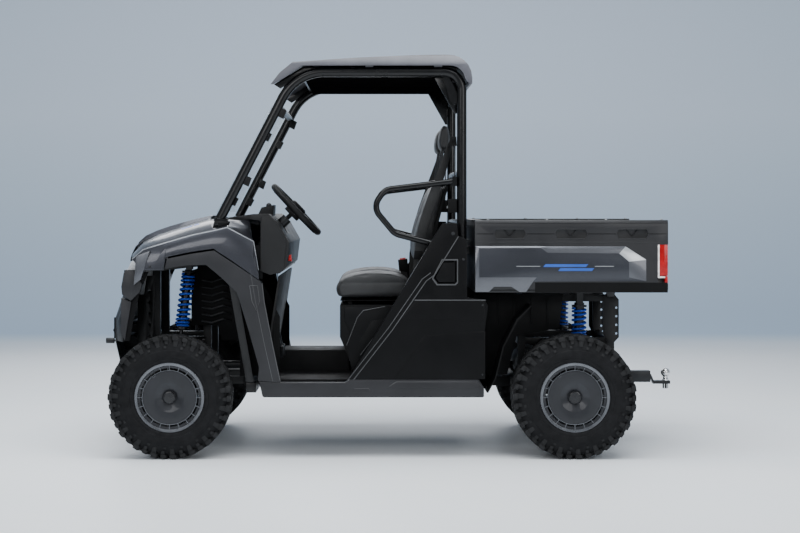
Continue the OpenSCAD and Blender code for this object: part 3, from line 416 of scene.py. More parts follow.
class Shape:
    """Collects faces, each with a material number, and makes one object of them."""

    def __init__(self):
        self.v, self.f, self.k = [], [], []

    def add(self, verts, faces, k=0):
        n = len(self.v)
        self.v += [tuple(p) for p in verts]
        self.f += [[i + n for i in q] for q in faces]
        self.k += [k] * len(faces)
        return self

    def ring(self, profile, steps, k=0, closed=False, upright_at=None):
        """Turns (radius, height) points round Y, or round an upright axis at (x, y)."""
        n = len(profile)
        verts = []
        for i in range(steps):
            a = 2 * math.pi * i / steps
            for r, h in profile:
                c, s = r * math.cos(a), r * math.sin(a)
                verts.append((c, h, s) if upright_at is None else (c + upright_at[0], s + upright_at[1], h))
        faces = [(i * n + t, i * n + (t + 1) % n, (i + 1) % steps * n + (t + 1) % n, (i + 1) % steps * n + t)
                 for i in range(steps) for t in range(n if closed else n - 1)]
        return self.add(verts, faces, k)

    def hexa(self, p, k=0):
        """Eight corners: the base loop, then the top loop."""
        return self.add(p, [(3, 2, 1, 0), (4, 5, 6, 7), (0, 1, 5, 4), (1, 2, 6, 5), (2, 3, 7, 6), (3, 0, 4, 7)], k)

    def block(self, low, high, k=0):
        (a, b, c), (d, e, f) = low, high
        base = [(a, b), (d, b), (d, e), (a, e)]
        return self.hexa([(x, y, z) for z in (c, f) for x, y in base], k)

    def taper(self, base, top, k=0):
        """Two level rectangles, each (x0, x1, y0, y1, z)."""
        return self.hexa([q for a, b, c, d, z in (base, top) for q in ((a, c, z), (b, c, z), (b, d, z), (a, d, z))], k)

    def slab(self, outline, y0, y1, k=0, top=None):
        """Four points in X and Z at y0, and the same or those of top at y1."""
        return self.hexa([(x, y0, z) for x, z in outline] + [(x, y1, z) for x, z in top or outline], k)

    def plate(self, outline, y0, y1, k=0):
        """An outline in X and Z, from y0 to y1."""
        n = len(outline)
        v = [(x, y0, z) for x, z in outline] + [(x, y1, z) for x, z in outline]
        f = [tuple(range(n)), tuple(range(2 * n - 1, n - 1, -1))]
        f += [(i, i + n, (i + 1) % n + n, (i + 1) % n) for i in range(n)]
        return self.add(v, f, k)

    def tube(self, path, r, k=0, sides=12):
        """A round tube along points; r is one radius or one for each point."""
        pts = [Vector(p) for p in path]
        rs = r if isinstance(r, list) else [r] * len(pts)
        u = (pts[1] - pts[0]).normalized().orthogonal().normalized()
        turns = [2 * math.pi * j / sides for j in range(sides)]
        verts = []
        for i, p in enumerate(pts):
            t = (pts[min(i + 1, len(pts) - 1)] - pts[max(i - 1, 0)]).normalized()
            u = (u - t * u.dot(t)).normalized()
            w = t.cross(u)
            verts += [p + rs[i] * (math.cos(a) * u + math.sin(a) * w) for a in turns]
        return self.add(verts, tube_faces(len(pts), sides), k)

    def bolt(self, at, normal, d, h, k):
        """A flanged hexagon head on a surface."""
        at, n = Vector(at), Vector(normal).normalized()
        self.tube([at, at + n * h * 0.25], d * 0.66, k, 16)
        return self.tube([at + n * h * 0.2, at + n * h * 0.85, at + n * h], [d / 2, d / 2, d * 0.4], k, 6)

    def make(self, name, body, mats, place=None, bevel=0, split=30, node=None, mirror=False):
        """Makes the object, with a mirrored copy across Y if asked, riding body in place of node."""
        me = bpy.data.meshes.new(name)
        me.from_pydata(self.v, [], self.f)
        me.update()
        for m in mats:
            me.materials.append(mat[m])
        me.polygons.foreach_set("material_index", self.k)
        me.polygons.foreach_set("use_smooth", [True] * len(self.f))
        bm = bmesh.new()
        bm.from_mesh(me)
        if mirror:
            both = bmesh.ops.duplicate(bm, geom=bm.verts[:] + bm.edges[:] + bm.faces[:])["geom"]
            for v in both:
                if isinstance(v, bmesh.types.BMVert):
                    v.co.y *= -1
        if place is not None:
            bm.transform(place)
        bmesh.ops.remove_doubles(bm, verts=bm.verts, dist=1e-6)
        bmesh.ops.recalc_face_normals(bm, faces=bm.faces)
        bm.to_mesh(me)
        bm.free()
        o = bpy.data.objects.new(name, me)
        S.collection.objects.link(o)
        if bevel:
            round_edges(o, bevel, 28)
        if split:
            split_edges(o, split)
        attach(o, body)
        if node:
            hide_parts(node)


# ---------------------------------------------------------------- wheels

TYRE_R = 0.310
# Centre in X and Y, and width, in the order of CORNERS
WHEELS = ((1.100, 0.660, 0.203), (1.100, -0.660, 0.203), (-0.930, 0.635, 0.254), (-0.930, -0.635, 0.254))
PITCHES = 38
SPOKES, VALVE = 20, 3


def turned(x, y):
    """Places a wheel modelled round the origin with its outer side at +Y."""
    return Matrix.Translation((x, y, TYRE_R)) @ Matrix.Rotation(0 if y > 0 else math.pi, 4, "Z")


def polar(r, a, y):
    return (r * math.cos(a), y, r * math.sin(a))


def lug(shape, a, half_a, y0, y1, r0, r1, skew):
    """A tread block: wider at its foot, leaning round the tyre by skew over its width."""
    ym, yh = (y0 + y1) / 2, abs(y1 - y0) / 2

    def loop(r, k):
        return [polar(r, a + p * half_a * k + skew * q * yh * k, ym + q * yh * k)
                for p, q in ((-1, -1), (1, -1), (1, 1), (-1, 1))]
    shape.hexa(loop(r0, 1) + loop(r1, 0.8), 1)


def side_lug(shape, a, half_a, r0, r1, y, s, out):
    """A block on the side wall, from radius r0 to r1, standing proud of height y."""
    def pair(r, spread, y):
        return [polar(r, a - half_a * spread, s * y), polar(r, a + half_a * spread, s * y)]
    foot = pair(r0, 0.7, y + 0.002) + pair(r1, 1, y - 0.013)[::-1]
    top = pair(r0 + 0.003, 0.55, y + out) + pair(r1, 0.85, y - 0.005)[::-1]
    shape.hexa(foot + top, 1)


def tyre(name, x, y, w):
    h = w / 2
    t = Shape()
    half = [(r, h - inset) for r, inset in (
        (0.153, 0.022), (0.172, 0.018), (0.1775, 0.012), (0.182, 0.007), (0.189, 0.0045), (0.197, 0.0052),
        (0.199, 0.0022), (0.202, 0.0012), (0.218, 0.0002), (0.236, 0.0006), (0.238, 0.003), (0.252, 0.0055),
        (0.270, 0.0120), (0.285, 0.0210), (0.294, 0.0330), (0.2975, 0.046))] + [(0.2995, h * 0.3)]
    t.ring(half + [(r, -y) for r, y in reversed(half)], 96)
    step = 2 * math.pi / PITCHES
    for i in range(PITCHES):
        big = i % 2 == 0
        for s in (-1, 1):
            b = i * step + (0.5 * step if s < 0 else 0)
            lug(t, b, step * (0.33 if big else 0.27), s * (h - 0.006), s * (h - 0.043),
                0.2880, TYRE_R - (0.0005 if big else 0.0035), s * 1.2)
            side_lug(t, b + 0.03 * s, step * (0.34 if big else 0.26), 0.2560 if big else 0.2670, 0.3015,
                     h - 0.008, s, 0.0025 if big else 0.001)
            if big:
                side_lug(t, b + step * s, step * 0.2, 0.2470, 0.2600, h - 0.0035, s, 0.001)
            lug(t, b + step * 0.42, step * 0.3, s * (h - 0.050), s * h * 0.26, 0.2965, TYRE_R - 0.0005, s * 2.6)
            lug(t, b + step * (0.1 if big else 0.2), step * 0.33, s * h * 0.03, s * h * 0.22, 0.2970, TYRE_R, -s * 3.0)
    corners = ((0.206, -0.004), (0.206, 0.004), (0.214, 0.004), (0.214, -0.004))
    for i in range(96):
        a = 2 * math.pi * i / 96
        for s in (-1, 1):
            if i % 24 > 5:
                t.hexa([polar(r, a + q, s * (h + z)) for z in (-0.0022, -0.0001) for r, q in corners])
    t.make(name + "_tread", name + "_wheel", ["tyre", "tread"], turned(x, y), 0.0012, 40, name + "_tyre")


def rim(name, x, y, w):
    out, h = w / 2 - 0.018, w / 2 - 0.012

    def turn(profile, steps, k, closed=False):
        t.ring([(r, out + d) for r, d in profile], steps, k, closed)

    t = Shape()
    t.ring([(0.147, -h), (0.175, -h), (0.1755, -h + 0.004), (0.1530, -h + 0.012), (0.1527, 0), (0.1527, h - 0.010),
            (0.158, h - 0.008), (0.147, h - 0.010), (0.146, 0)], 96, 0, True)
    # Outer lip and the ring round the disc
    turn([(0.1585, -0.030), (0.1585, 0.001), (0.1605, 0.0042), (0.168, 0.0058), (0.1735, 0.0060), (0.1758, 0.0045),
          (0.1762, 0.0015), (0.170, -0.004), (0.160, -0.012)], 120, 1, True)
    turn([(0.1330, -0.028), (0.1330, -0.0008), (0.1342, 0.0012), (0.1368, 0.0012), (0.1376, -0.0005),
          (0.1376, -0.028)], 120, 1, True)
    # Disc, hub cap and the disc's back
    turn([(0.1330, -0.001), (0.1315, 0), (0.0760, 0), (0.0725, -0.0006), (0.0690, -0.0022), (0.0340, -0.0125),
          (0.0325, -0.0135), (0.0305, -0.0135), (0.0300, -0.0125)], 96, 0)
    turn([(0.0300, -0.0125), (0.0297, -0.0030), (0.0285, -0.0008), (0.0262, 0), (0.0255, 0.0002), (0.0250, -0.0006),
          (0.0200, -0.0006), (0.0001, -0.0002)], 48, 2)
    turn([(0.0001, -0.014), (0.1330, -0.012), (0.1330, -0.020), (0.036, -0.024), (0.036, -0.050),
          (0.0202, -0.050)], 48, 0)
    wide = 0.0017 / 0.148
    bar = ((0.1365, -wide), (0.1365, wide), (0.1600, wide * 0.9), (0.1600, -wide * 0.9))
    for i in range(SPOKES):
        a = 2 * math.pi * i / SPOKES
        if i != VALVE:
            t.hexa([polar(r, a + q, z) for z in (out - 0.028, out + 0.0006) for r, q in bar], 1)
    a = 2 * math.pi * VALVE / SPOKES
    surround = [(0.160, -0.075), (0.143, -0.090), (0.1285, -0.048), (0.1285, 0.048), (0.143, 0.090), (0.160, 0.075)]
    for (r0, q0), (r1, q1) in zip(surround, surround[1:]):
        side = ((r0, q0), (r1, q1), (r1 * 0.985, q1), (r0 * 0.985, q0))
        t.hexa([polar(r, a + q, z) for z in (out - 0.02, out + 0.0016) for r, q in side], 1)
    t.tube([polar(0.146, a, out + d) for d in (-0.03, -0.006, -0.004)], [0.0045, 0.0045, 0.003], 2)
    looks = ["rim_dark", "rim_silver", "damper"]
    t.make(name + "_alloy", name + "_wheel", looks, turned(x, y), 0, 32, name + "_rim")


for corner, wheel in zip(CORNERS, WHEELS):
    tyre(corner, *wheel)
    rim(corner, *wheel)

# ---------------------------------------------------------------- coil springs and dampers


def coil(shape, low, top, span, r, wire, turns):
    """Adds a coil round the line from low to top, over span along it; its ends are closer wound."""
    low, top = Vector(low), Vector(top)
    up = (top - low).normalized()
    u = up.orthogonal().normalized()
    w = up.cross(u)
    n = turns * 18
    path = []
    for i in range(n + 1):
        q = i / n
        flat = 0.5 - 0.5 * math.cos(math.pi * min(1, max(0, (q - 0.04) / 0.92)))
        z = span[0] + wire + (span[1] - span[0] - 2 * wire) * (0.35 * flat + 0.65 * q)
        a = 2 * math.pi * turns * q
        path.append(low + up * z + (r - wire) * (math.cos(a) * u + math.sin(a) * w))
    shape.tube(path, wire, 0, 8)


springs = Shape()
coil(springs, (1.090, 0.440, 0.505), (1.037, 0.385, 0.955), (0.138, 0.420), 0.0375, 0.0062, 12)
coil(springs, (-0.985, 0.421, 0.532), (-0.989, 0.421, 0.778), (0.058, 0.214), 0.0400, 0.0062, 7)
springs.make("coil_springs", "root", ["spring"], split=0, node="springs", mirror=True)

# ---------------------------------------------------------------- seats

SEAT_Y = 0.285
VOXEL = 0.008
PRESSURE, LAST_FRAME = 4, 20
SEAM_DEPTH = 0.0022


def evaluated(o):
    dg = bpy.context.evaluated_depsgraph_get()
    dg.update()
    return bpy.data.meshes.new_from_object(o.evaluated_get(dg))


def pad_start(outline, y0, y1, round_by):
    """A closed pad: the side outline swept across the seat, drawn in towards both ends."""
    cx = sum(p[0] for p in outline) / len(outline)
    cz = sum(p[1] for p in outline) / len(outline)
    n, m = len(outline), 16
    verts = []
    for j in range(m + 1):
        t = -math.cos(math.pi * j / m)
        k = 1 - round_by * abs(t) ** 7
        y = (y0 + y1) / 2 + t * (y1 - y0) / 2
        verts += [(cx + (x - cx) * k, y, cz + (z - cz) * k) for x, z in outline]
    return verts, tube_faces(m + 1, n)


def baked(o, kind, **settings):
    """Applies one modifier to the object's mesh."""
    m = o.modifiers.new(kind.lower(), kind)
    for k, v in settings.items():
        setattr(m, k, v)
    o.data = evaluated(o)
    o.modifiers.clear()


def inflate(o, pins, cap):
    """Blows the mesh up with cloth, held at pins, by no more than cap anywhere."""
    start = [v.co.copy() for v in o.data.vertices]
    o.vertex_groups.new(name="seams").add(pins, 1.0, "REPLACE")
    c = o.modifiers.new("cloth", "CLOTH")
    c.settings.use_pressure = True
    c.settings.uniform_pressure_force = PRESSURE
    c.settings.effector_weights.gravity = 0
    c.settings.vertex_group_mass = "seams"
    c.settings.quality = 4
    c.collision_settings.use_collision = False
    c.point_cache.frame_start, c.point_cache.frame_end = 1, LAST_FRAME
    for f in range(1, LAST_FRAME + 1):
        S.frame_set(f)
    after = evaluated(o)
    for v, a, w in zip(o.data.vertices, start, after.vertices):
        d = w.co - a
        v.co = a + (d if d.length < cap else d.normalized() * cap)
    S.frame_set(1)
    o.modifiers.clear()
    o.vertex_groups.clear()


def pad(name, outline, y0, y1, round_by, seam, cap, node, accent=None):
    """Inflates one pad with cloth, keeping its seams down, then makes the same pad for the other seat."""
    me = bpy.data.meshes.new(name)
    verts, faces = pad_start(outline, y0, y1, round_by)
    me.from_pydata(verts, [], faces)
    o = bpy.data.objects.new(name, me)
    S.collection.objects.link(o)
    baked(o, "REMESH", mode="VOXEL", voxel_size=VOXEL, use_smooth_shade=True)
    baked(o, "SMOOTH", iterations=6, factor=0.5)
    pins = [v.index for v in o.data.vertices if seam(v.co)]
    inflate(o, pins, cap)
    for i in pins:
        o.data.vertices[i].co -= o.data.vertices[i].normal * SEAM_DEPTH
    o.data.materials.append(mat["vinyl"])
    o.data.materials.append(mat["vinyl_grey"])
    for f in o.data.polygons:
        f.use_smooth = True
        f.material_index = 1 if accent and accent(f.center) else 0
    other = bpy.data.objects.new(name, o.data.copy())
    S.collection.objects.link(other)
    other.data.transform(Matrix.Diagonal((1, -1, 1, 1)))
    other.data.flip_normals()
    for side, q in (("left", o), ("right", other)):
        q.name = side + "_" + name
        fine = q.modifiers.new("fine", "SUBSURF")
        fine.levels = fine.render_levels = 1
        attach(q, "root")
        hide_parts(node)


def near(value, target, reach=0.0045):
    return abs(value - target) < reach


def cushion_seam(c):
    """The piping round the edge, two seams along the top, and the underside."""
    edge = near(c.z, 0.878 - 0.10 * max(0, c.x - 0.17)) and (c.y < 0.085 or c.y > 0.485 or c.x > 0.245)
    return edge or near(abs(c.y - SEAT_Y), 0.132) and c.z > 0.885 or c.z < 0.803


def back_seam(c):
    """Two seams up the front, one across it, and the piping down both sides."""
    aside = abs(c.y - SEAT_Y)
    upright = near(aside, 0.130) and c.x > -0.245 + 0.1 * (1.1 - c.z)
    side = aside > 0.155 and near(c.x, -0.176 - 0.30 * max(0, c.z - 1.09), 0.006)
    return upright or side or near(c.z, 1.225) and aside < 0.13 and c.x > -0.235


def rest_seam(c):
    return near(c.x, -0.289 - 0.1 * (c.z - 1.6), 0.005)


cushion_line = [(-0.108, 0.800), (0.255, 0.798), (0.268, 0.812), (0.274, 0.845), (0.262, 0.876), (0.236, 0.898),
                (0.190, 0.914), (0.130, 0.923), (0.060, 0.927), (0.000, 0.924), (-0.060, 0.912), (-0.095, 0.893),
                (-0.114, 0.860), (-0.118, 0.825)]
pad("cushion", cushion_line, 0.055, 0.515, 0.10, cushion_seam, 0.022, "seat_cushions",
    lambda c: abs(c.y - SEAT_Y) < 0.132 and c.z > 0.88)
back_line = [(-0.218, 0.972), (-0.142, 0.976), (-0.128, 1.020), (-0.128, 1.085), (-0.154, 1.185), (-0.208, 1.335),
             (-0.232, 1.372), (-0.264, 1.382), (-0.282, 1.366), (-0.272, 1.320), (-0.236, 1.180), (-0.222, 1.080)]
pad("seat_back", back_line, 0.063, 0.507, 0.16, back_seam, 0.018, "seat_backs",
    lambda c: abs(c.y - SEAT_Y) < 0.130 and c.x > -0.24)
rest_line = [(-0.312, 1.562), (-0.276, 1.558), (-0.264, 1.572), (-0.260, 1.605), (-0.268, 1.660), (-0.284, 1.692),
             (-0.308, 1.688), (-0.318, 1.650)]
pad("head_rest", rest_line, 0.168, 0.402, 0.25, rest_seam, 0.012, "head_rests")

# Head rest posts with their collars, brackets to the seat base, and the hard shell of the back
frame_bits = Shape()
for y in (SEAT_Y - 0.06, SEAT_Y + 0.06):
    frame_bits.tube([(-0.270, y, 1.372), (-0.270, y, 1.44), (-0.274, y, 1.50), (-0.290, y, 1.60)], 0.006, 0, 14)
    frame_bits.ring([(0.0001, 1.4015), (0.010, 1.4015), (0.0125, 1.3990), (0.0130, 1.3900), (0.0130, 1.3800)],
                    20, 1, upright_at=(-0.270, y))
for y in (SEAT_Y - 0.12, SEAT_Y + 0.12):
    frame_bits.block((-0.369, y - 0.02, 1.036), (-0.215, y + 0.02, 1.052), 1)
back_shell = [(-0.226, 0.960), (-0.214, 0.962), (-0.222, 1.080), (-0.238, 1.180), (-0.276, 1.330), (-0.292, 1.372),
              (-0.304, 1.376), (-0.306, 1.362), (-0.296, 1.330), (-0.256, 1.180), (-0.240, 1.080)]
frame_bits.plate(back_shell, SEAT_Y - 0.205, SEAT_Y + 0.205, 1)
frame_bits.make("seat_frames", "root", ["dark_steel", "dark_plastic"], bevel=0.003, mirror=True)

# ---------------------------------------------------------------- seat belts


def strap(shape, path, width, flat, thick=0.0018):
    """A flat strap through points; flat gives the strap's width direction, once or at each point."""
    pts = [Vector(p) for p in path]
    v = []
    for i, p in enumerate(pts):
        t = (pts[min(i + 1, len(pts) - 1)] - pts[max(i - 1, 0)]).normalized()
        w = Vector(flat[i] if isinstance(flat, list) else flat)
        w = (w - t * w.dot(t)).normalized() * width / 2
        n = t.cross(w).normalized() * thick / 2
        v += [p - w - n, p + w - n, p + w + n, p - w + n]
    return shape.add(v, tube_faces(len(pts), 4))


def smooth_path(points, n=8):
    """Catmull-Rom points through the given points."""
    p = [Vector(q) for q in points]
    p = [2 * p[0] - p[1]] + p + [2 * p[-1] - p[-2]]
    out = []
    for i in range(1, len(p) - 2):
        a, b, c, d = p[i - 1:i + 3]
        for t in (j / n for j in range(n)):
            out.append(0.5 * (2 * b + (c - a) * t + (2 * a - 5 * b + 4 * c - d) * t * t
                              + (3 * b - a - 3 * c + d) * t ** 3))
    return out + [p[-2]]


belts = Shape()
front = smooth_path([(-0.318, 0.560, 1.600), (-0.300, 0.560, 1.540), (-0.272, 0.558, 1.450), (-0.236, 0.553, 1.350),
                     (-0.200, 0.550, 1.250), (-0.172, 0.548, 1.150), (-0.158, 0.547, 1.050), (-0.152, 0.546, 0.950),
                     (-0.150, 0.548, 0.860), (-0.150, 0.549, 0.800)])
FACING = Vector((0.5, 1, 0)), Vector((1, 0.05, 0))
strap(belts, front, 0.046, [FACING[0].lerp(FACING[1], min(1, i / 24)) for i in range(len(front))])
rear = [(-0.330, 0.566, 1.600), (-0.334, 0.572, 1.480), (-0.334, 0.578, 1.360), (-0.330, 0.588, 1.290)]
strap(belts, smooth_path(rear), 0.046, (0.1, 1, 0))
lap = [(-0.150, 0.553, 0.800), (-0.148, 0.553, 0.880), (-0.148, 0.552, 0.960), (-0.150, 0.551, 1.005)]
strap(belts, smooth_path(lap), 0.046, (1, 0.1, 0.1))
# Tongue, shoulder loop, retractor and lower anchor
belts.taper((-0.176, -0.126, 0.541, 0.558, 0.996), (-0.172, -0.132, 0.543, 0.556, 1.040), 1)
belts.hexa([(-0.345, 0.562, 1.575), (-0.305, 0.556, 1.575), (-0.305, 0.592, 1.575), (-0.345, 0.598, 1.575),
            (-0.343, 0.566, 1.622), (-0.312, 0.560, 1.622), (-0.312, 0.588, 1.622), (-0.343, 0.594, 1.622)], 1)
belts.bolt((-0.326, 0.594, 1.606), (0, 1, 0), 0.018, 0.010, 1)
belts.block((-0.344, 0.570, 1.235), (-0.300, 0.622, 1.305), 1)
belts.bolt((-0.300, 0.596, 1.262), (1, 0, 0), 0.014, 0.007, 2)
belts.taper((-0.176, -0.124, 0.542, 0.556, 0.763), (-0.170, -0.130, 0.543, 0.555, 0.812), 2)
# Buckle on its strap, with a red button
y = 0.025
strap(belts, smooth_path([(-0.095, y, 0.765), (-0.092, y, 0.85), (-0.085, y, 0.92)]), 0.034, (1, 0, 0), 0.004)
for k, corners in ((1, [(-0.112, -0.012, 0.912), (-0.060, -0.012, 0.918), (-0.060, 0.012, 0.918),
                        (-0.112, 0.012, 0.912), (-0.104, -0.011, 0.984), (-0.054, -0.011, 0.978),
                        (-0.054, 0.011, 0.978), (-0.104, 0.011, 0.984)]),
                   (3, [(-0.096, -0.007, 0.980), (-0.062, -0.007, 0.976), (-0.062, 0.007, 0.976),
                        (-0.096, 0.007, 0.980), (-0.094, -0.006, 0.990), (-0.064, -0.006, 0.986),
                        (-0.064, 0.006, 0.986), (-0.094, 0.006, 0.990)])):
    belts.hexa([(x, y + dy, z) for x, dy, z in corners], k)
belts.make("belts", "root", ["belt", "dark_plastic", "steel", "red"], bevel=0.0006, node="seat_belts", mirror=True)

# ---------------------------------------------------------------- bed trim, rails and tail lights


def run(shape, points, y, r, k=0, sides=8):
    """A thin raised bead along points in X and Z."""
    shape.tube([(x, y, z) for x, z in points], r, k, sides)


# The trim's outline lies at OUT, its raised field at FLAT, and its rim reaches in to WALL
OUT, FLAT, WALL = 0.6915, 0.6990, 0.6903
trim = Shape()
a1, a2 = (-0.4345, 1.0670, OUT), (-0.4345, 0.8355, OUT)
b1, b2 = (-0.4530, 1.0565, FLAT), (-0.4530, 0.9095, FLAT)
c1, c2, c3, c4, c5, c6 = [(x, z, FLAT) for x, z in (
    (-0.7660, 1.0565), (-0.7960, 1.0340), (-1.1580, 1.0300), (-1.2070, 0.9890), (-1.2070, 0.9095), (-0.7430, 0.9095))]
c0, d1, d2, d3, d4, d5, d6, d7, d8, d9, d10 = [(x, z, OUT) for x, z in (
    (-0.7500, 1.0670), (-0.8070, 1.0650), (-1.1910, 1.0650), (-1.2950, 0.9980), (-1.2950, 0.8900), (-0.7240, 0.8875),
    (-0.6900, 0.8355), (-0.6560, 0.8355), (-0.6150, 0.8620), (-0.5290, 0.8620), (-0.5020, 0.8355))]
edge = [a1, c0, d1, d2, d3, d4, d5, d6, d7, d8, d9, d10, a2]
# The field, the rim and one lower chamfer in the trim's own paint, the other chamfers in a lighter copy and the upper
# rear chamfer near white: painted light and a painted highlight on one paint
facets = [((b1, b2, c6, c5, c4, c3, c2, c1), 0), ((a1, b1, c1, c0), 1), ((c0, c1, c2, d1), 1), ((d1, c2, c3, d2), 1),
          ((d2, c3, c4, d3), 2), ((d3, c4, c5, d4), 1), ((d4, c5, c6, d5), 0), ((a2, b2, b1, a1), 1),
          ((a2, d10, d9, d8, d7, d6, d5, c6, b2), 1)]
facets += [((p, q, (q[0], q[1], WALL), (p[0], p[1], WALL)), 0) for p, q in zip(edge, edge[1:] + edge[:1])]
for corners, k in facets:
    trim.add([(x, y, z) for x, z, y in corners], [tuple(range(len(corners)))], k)
looks = ["trim_paint", "trim_mid", "trim_highlight_paint"]
trim.make("bed_side_trim", "cargo_bed", looks, bevel=0.0012, node="bed_trim", mirror=True)

marks = Shape()
for x0, x1 in ((-0.640, -0.760), (-1.035, -1.130)):
    marks.block((x1, 0.6991, 0.9640), (x0, 0.6996, 0.9668), 1)
for i, (x0, x1) in enumerate(((-0.775, -0.990), (-0.850, -1.020))):
    z = 0.962 - 0.020 * i
    marks.slab(((x0, z), (x0 - 0.012, z + 0.014), (x1 - 0.012, z + 0.014), (x1, z)), 0.6991, 0.6995)
marks.make("bed_side_marks", "cargo_bed", ["blue", "silver"], mirror=True)

rail = Shape()
for x in (-0.609, -0.917, -1.226):
    pocket = [(x + dx, z) for dx, z in ((-0.082, 1.128), (-0.068, 1.104), (0.068, 1.104), (0.082, 1.128),
                                        (0.070, 1.152), (-0.070, 1.152))]
    run(rail, pocket + pocket[:1], 0.6895, 0.0022)
    for sx in (-0.030, 0.030):
        run(rail, [(x + sx, 1.150), (x, 1.118)], 0.668, 0.0025, sides=6)
for x0, x1 in ((-0.440, -0.525), (-0.693, -0.833), (-1.001, -1.142), (-1.310, -1.395)):
    rail.block((x1, 0.6885, 1.1265), (x0, 0.6904, 1.1300), 1)
for z in (1.0860, 1.1850):
    run(rail, [(-0.440, z), (-1.395, z)], 0.6893, 0.0022)
rail.block((-1.346, 0.6880, 0.8420), (-0.440, 0.6896, 0.8445), 1)
for x in (-0.50, -0.80, -1.10, -1.38):
    rail.bolt((x, 0.640, 1.198), (0, 0, 1), 0.013, 0.005, 2)
for x in (-0.60, -0.90, -1.20):
    rail.block((x - 0.006, 0.600, 0.900), (x + 0.006, 0.6445, 1.180), 0)
rail.make("bed_rails", "cargo_bed", ["bed_plastic", "dark_plastic", "steel"], bevel=0.0008, mirror=True)

lights = Shape()
lights.block((-1.4035, 0.6560, 0.9180), (-1.3620, 0.6895, 1.0740), 0)
lights.block((-1.4035, 0.6560, 0.8790), (-1.3900, 0.6895, 0.9140), 0)
lights.block((-1.3615, 0.6570, 0.9060), (-1.3535, 0.6900, 1.0740), 1)
lights.block((-1.4030, 0.6570, 0.9060), (-1.3620, 0.6892, 0.9140), 1)
for i in range(7):
    lights.block((-1.4042, 0.6600, 0.928 + i * 0.0205), (-1.4030, 0.6860, 0.940 + i * 0.0205), 0)
lights.make("tail_lamps", "cargo_bed", ["red_lens", "pale_strip"], bevel=0.0012, node="tail_lights", mirror=True)

gate = Shape()
for y in (-0.420, -0.140, 0.140):
    for q in (0.045, 0.125, 0.205):
        gate.block((-1.4050, y + q - 0.012, 0.918), (-1.3965, y + q + 0.012, 1.082), 0)
for y in (-0.55, 0.55):
    gate.bolt((-1.4052, y, 1.150), (-1, 0, 0), 0.014, 0.005, 1)
gate.make("tailgate_ribs", "tailgate", ["bed_plastic", "dark_steel"], bevel=0.002)

under = Shape()
under.block((-1.402, 0.6903, 0.8340), (-0.735, 0.6909, 0.8830), 0)
under.make("bed_lower_band", "cargo_bed", ["dark_plastic"], mirror=True)

# ---------------------------------------------------------------- side panels, sills and seat base

side = Shape()
# Beads beside the door opening, panel fields, the rim of the charge flap, bolts and the sill's bands
# The beads, the lip over the lower field and the flap's rim are in the lighter plastic: painted highlight lines along
# their edges
line = [(-0.349, 1.115), (-0.229, 0.922), (-0.187, 0.891), (-0.018, 0.6465), (0.196, 0.372)]
run(side, line, 0.6925, 0.0026, 1)
run(side, [(x + 0.020, z + 0.010) for x, z in line[1:]], 0.6925, 0.0022, 1)
side.slab([(-0.018, 0.397), (-0.176, 0.618), (-0.484, 0.640), (-0.484, 0.397)], 0.6931, 0.6949, 0,
          [(-0.040, 0.402), (-0.186, 0.606), (-0.474, 0.628), (-0.474, 0.402)])
side.slab([(-0.060, 0.700), (-0.132, 0.792), (-0.476, 0.792), (-0.488, 0.690)], 0.6931, 0.6949, 0,
          [(-0.072, 0.704), (-0.138, 0.784), (-0.470, 0.784), (-0.480, 0.698)])
side.block((-0.486, 0.6920, 0.7920), (-0.128, 0.6955, 0.7975), 1)
flap = [(-0.228, 0.908), (-0.270, 0.990), (-0.338, 0.990), (-0.338, 0.890), (-0.328, 0.880), (-0.248, 0.880)]
mid_x, mid_z = -0.292, 0.934


def around(points, k):
    """Points moved away from the flap's middle, k times as far."""
    return [(mid_x + (x - mid_x) * k, mid_z + (z - mid_z) * k) for x, z in points]


for p, q in zip(flap, flap[1:] + flap[:1]):
    side.slab(around((p, q), 1.20) + around((q, p), 1.08), 0.6925, 0.6958, 1)
side.bolt((-0.322, 0.6932, 1.130), (0, 1, 0), 0.014, 0.004, 2)
for x, z in ((-0.470, 0.420), (-0.470, 0.770), (-0.374, 1.000)):
    side.bolt((x, 0.6932, z), (0, 1, 0), 0.010, 0.003, 2)
side.slab([(0.016, 0.352), (-0.034, 0.386), (-0.442, 0.386), (-0.462, 0.352)], 0.6955, 0.6985, 3,
          [(0.006, 0.356), (-0.038, 0.381), (-0.438, 0.381), (-0.452, 0.356)])
side.slab([(0.190, 0.328), (0.176, 0.352), (0.100, 0.352), (0.086, 0.328)], 0.6952, 0.6972, 3,
          [(0.186, 0.330), (0.172, 0.349), (0.104, 0.349), (0.090, 0.330)])
looks = ["body_plastic", "bead_highlight_plastic", "dark_steel", "flare_plastic"]
side.make("side_trim", "root", looks, bevel=0.001, mirror=True)

POD_Y = 0.5662
pod = Shape()
pod.plate([(0.020, 0.755), (0.130, 0.735), (0.160, 0.700), (0.215, 0.560), (0.190, 0.430), (0.172, 0.430),
           (0.060, 0.560), (-0.075, 0.755)], POD_Y, POD_Y + 0.010)
pod.plate([(0.004, 0.694), (0.089, 0.683), (0.152, 0.575), (0.157, 0.546), (0.146, 0.509)],
          POD_Y + 0.009, POD_Y + 0.0112, 1)
# Beads in the lighter plastic: painted highlight lines
run(pod, [(0.004, 0.694), (0.146, 0.509)], POD_Y + 0.011, 0.0022, 2)
run(pod, [(0.216, 0.558), (0.161, 0.700), (0.131, 0.736), (0.020, 0.756)], POD_Y + 0.010, 0.0024, 2)
looks = ["body_plastic", "dark_plastic", "bead_highlight_plastic"]
pod.make("seat_base_panels", "root", looks, bevel=0.0015, mirror=True)

# ---------------------------------------------------------------- front bodywork

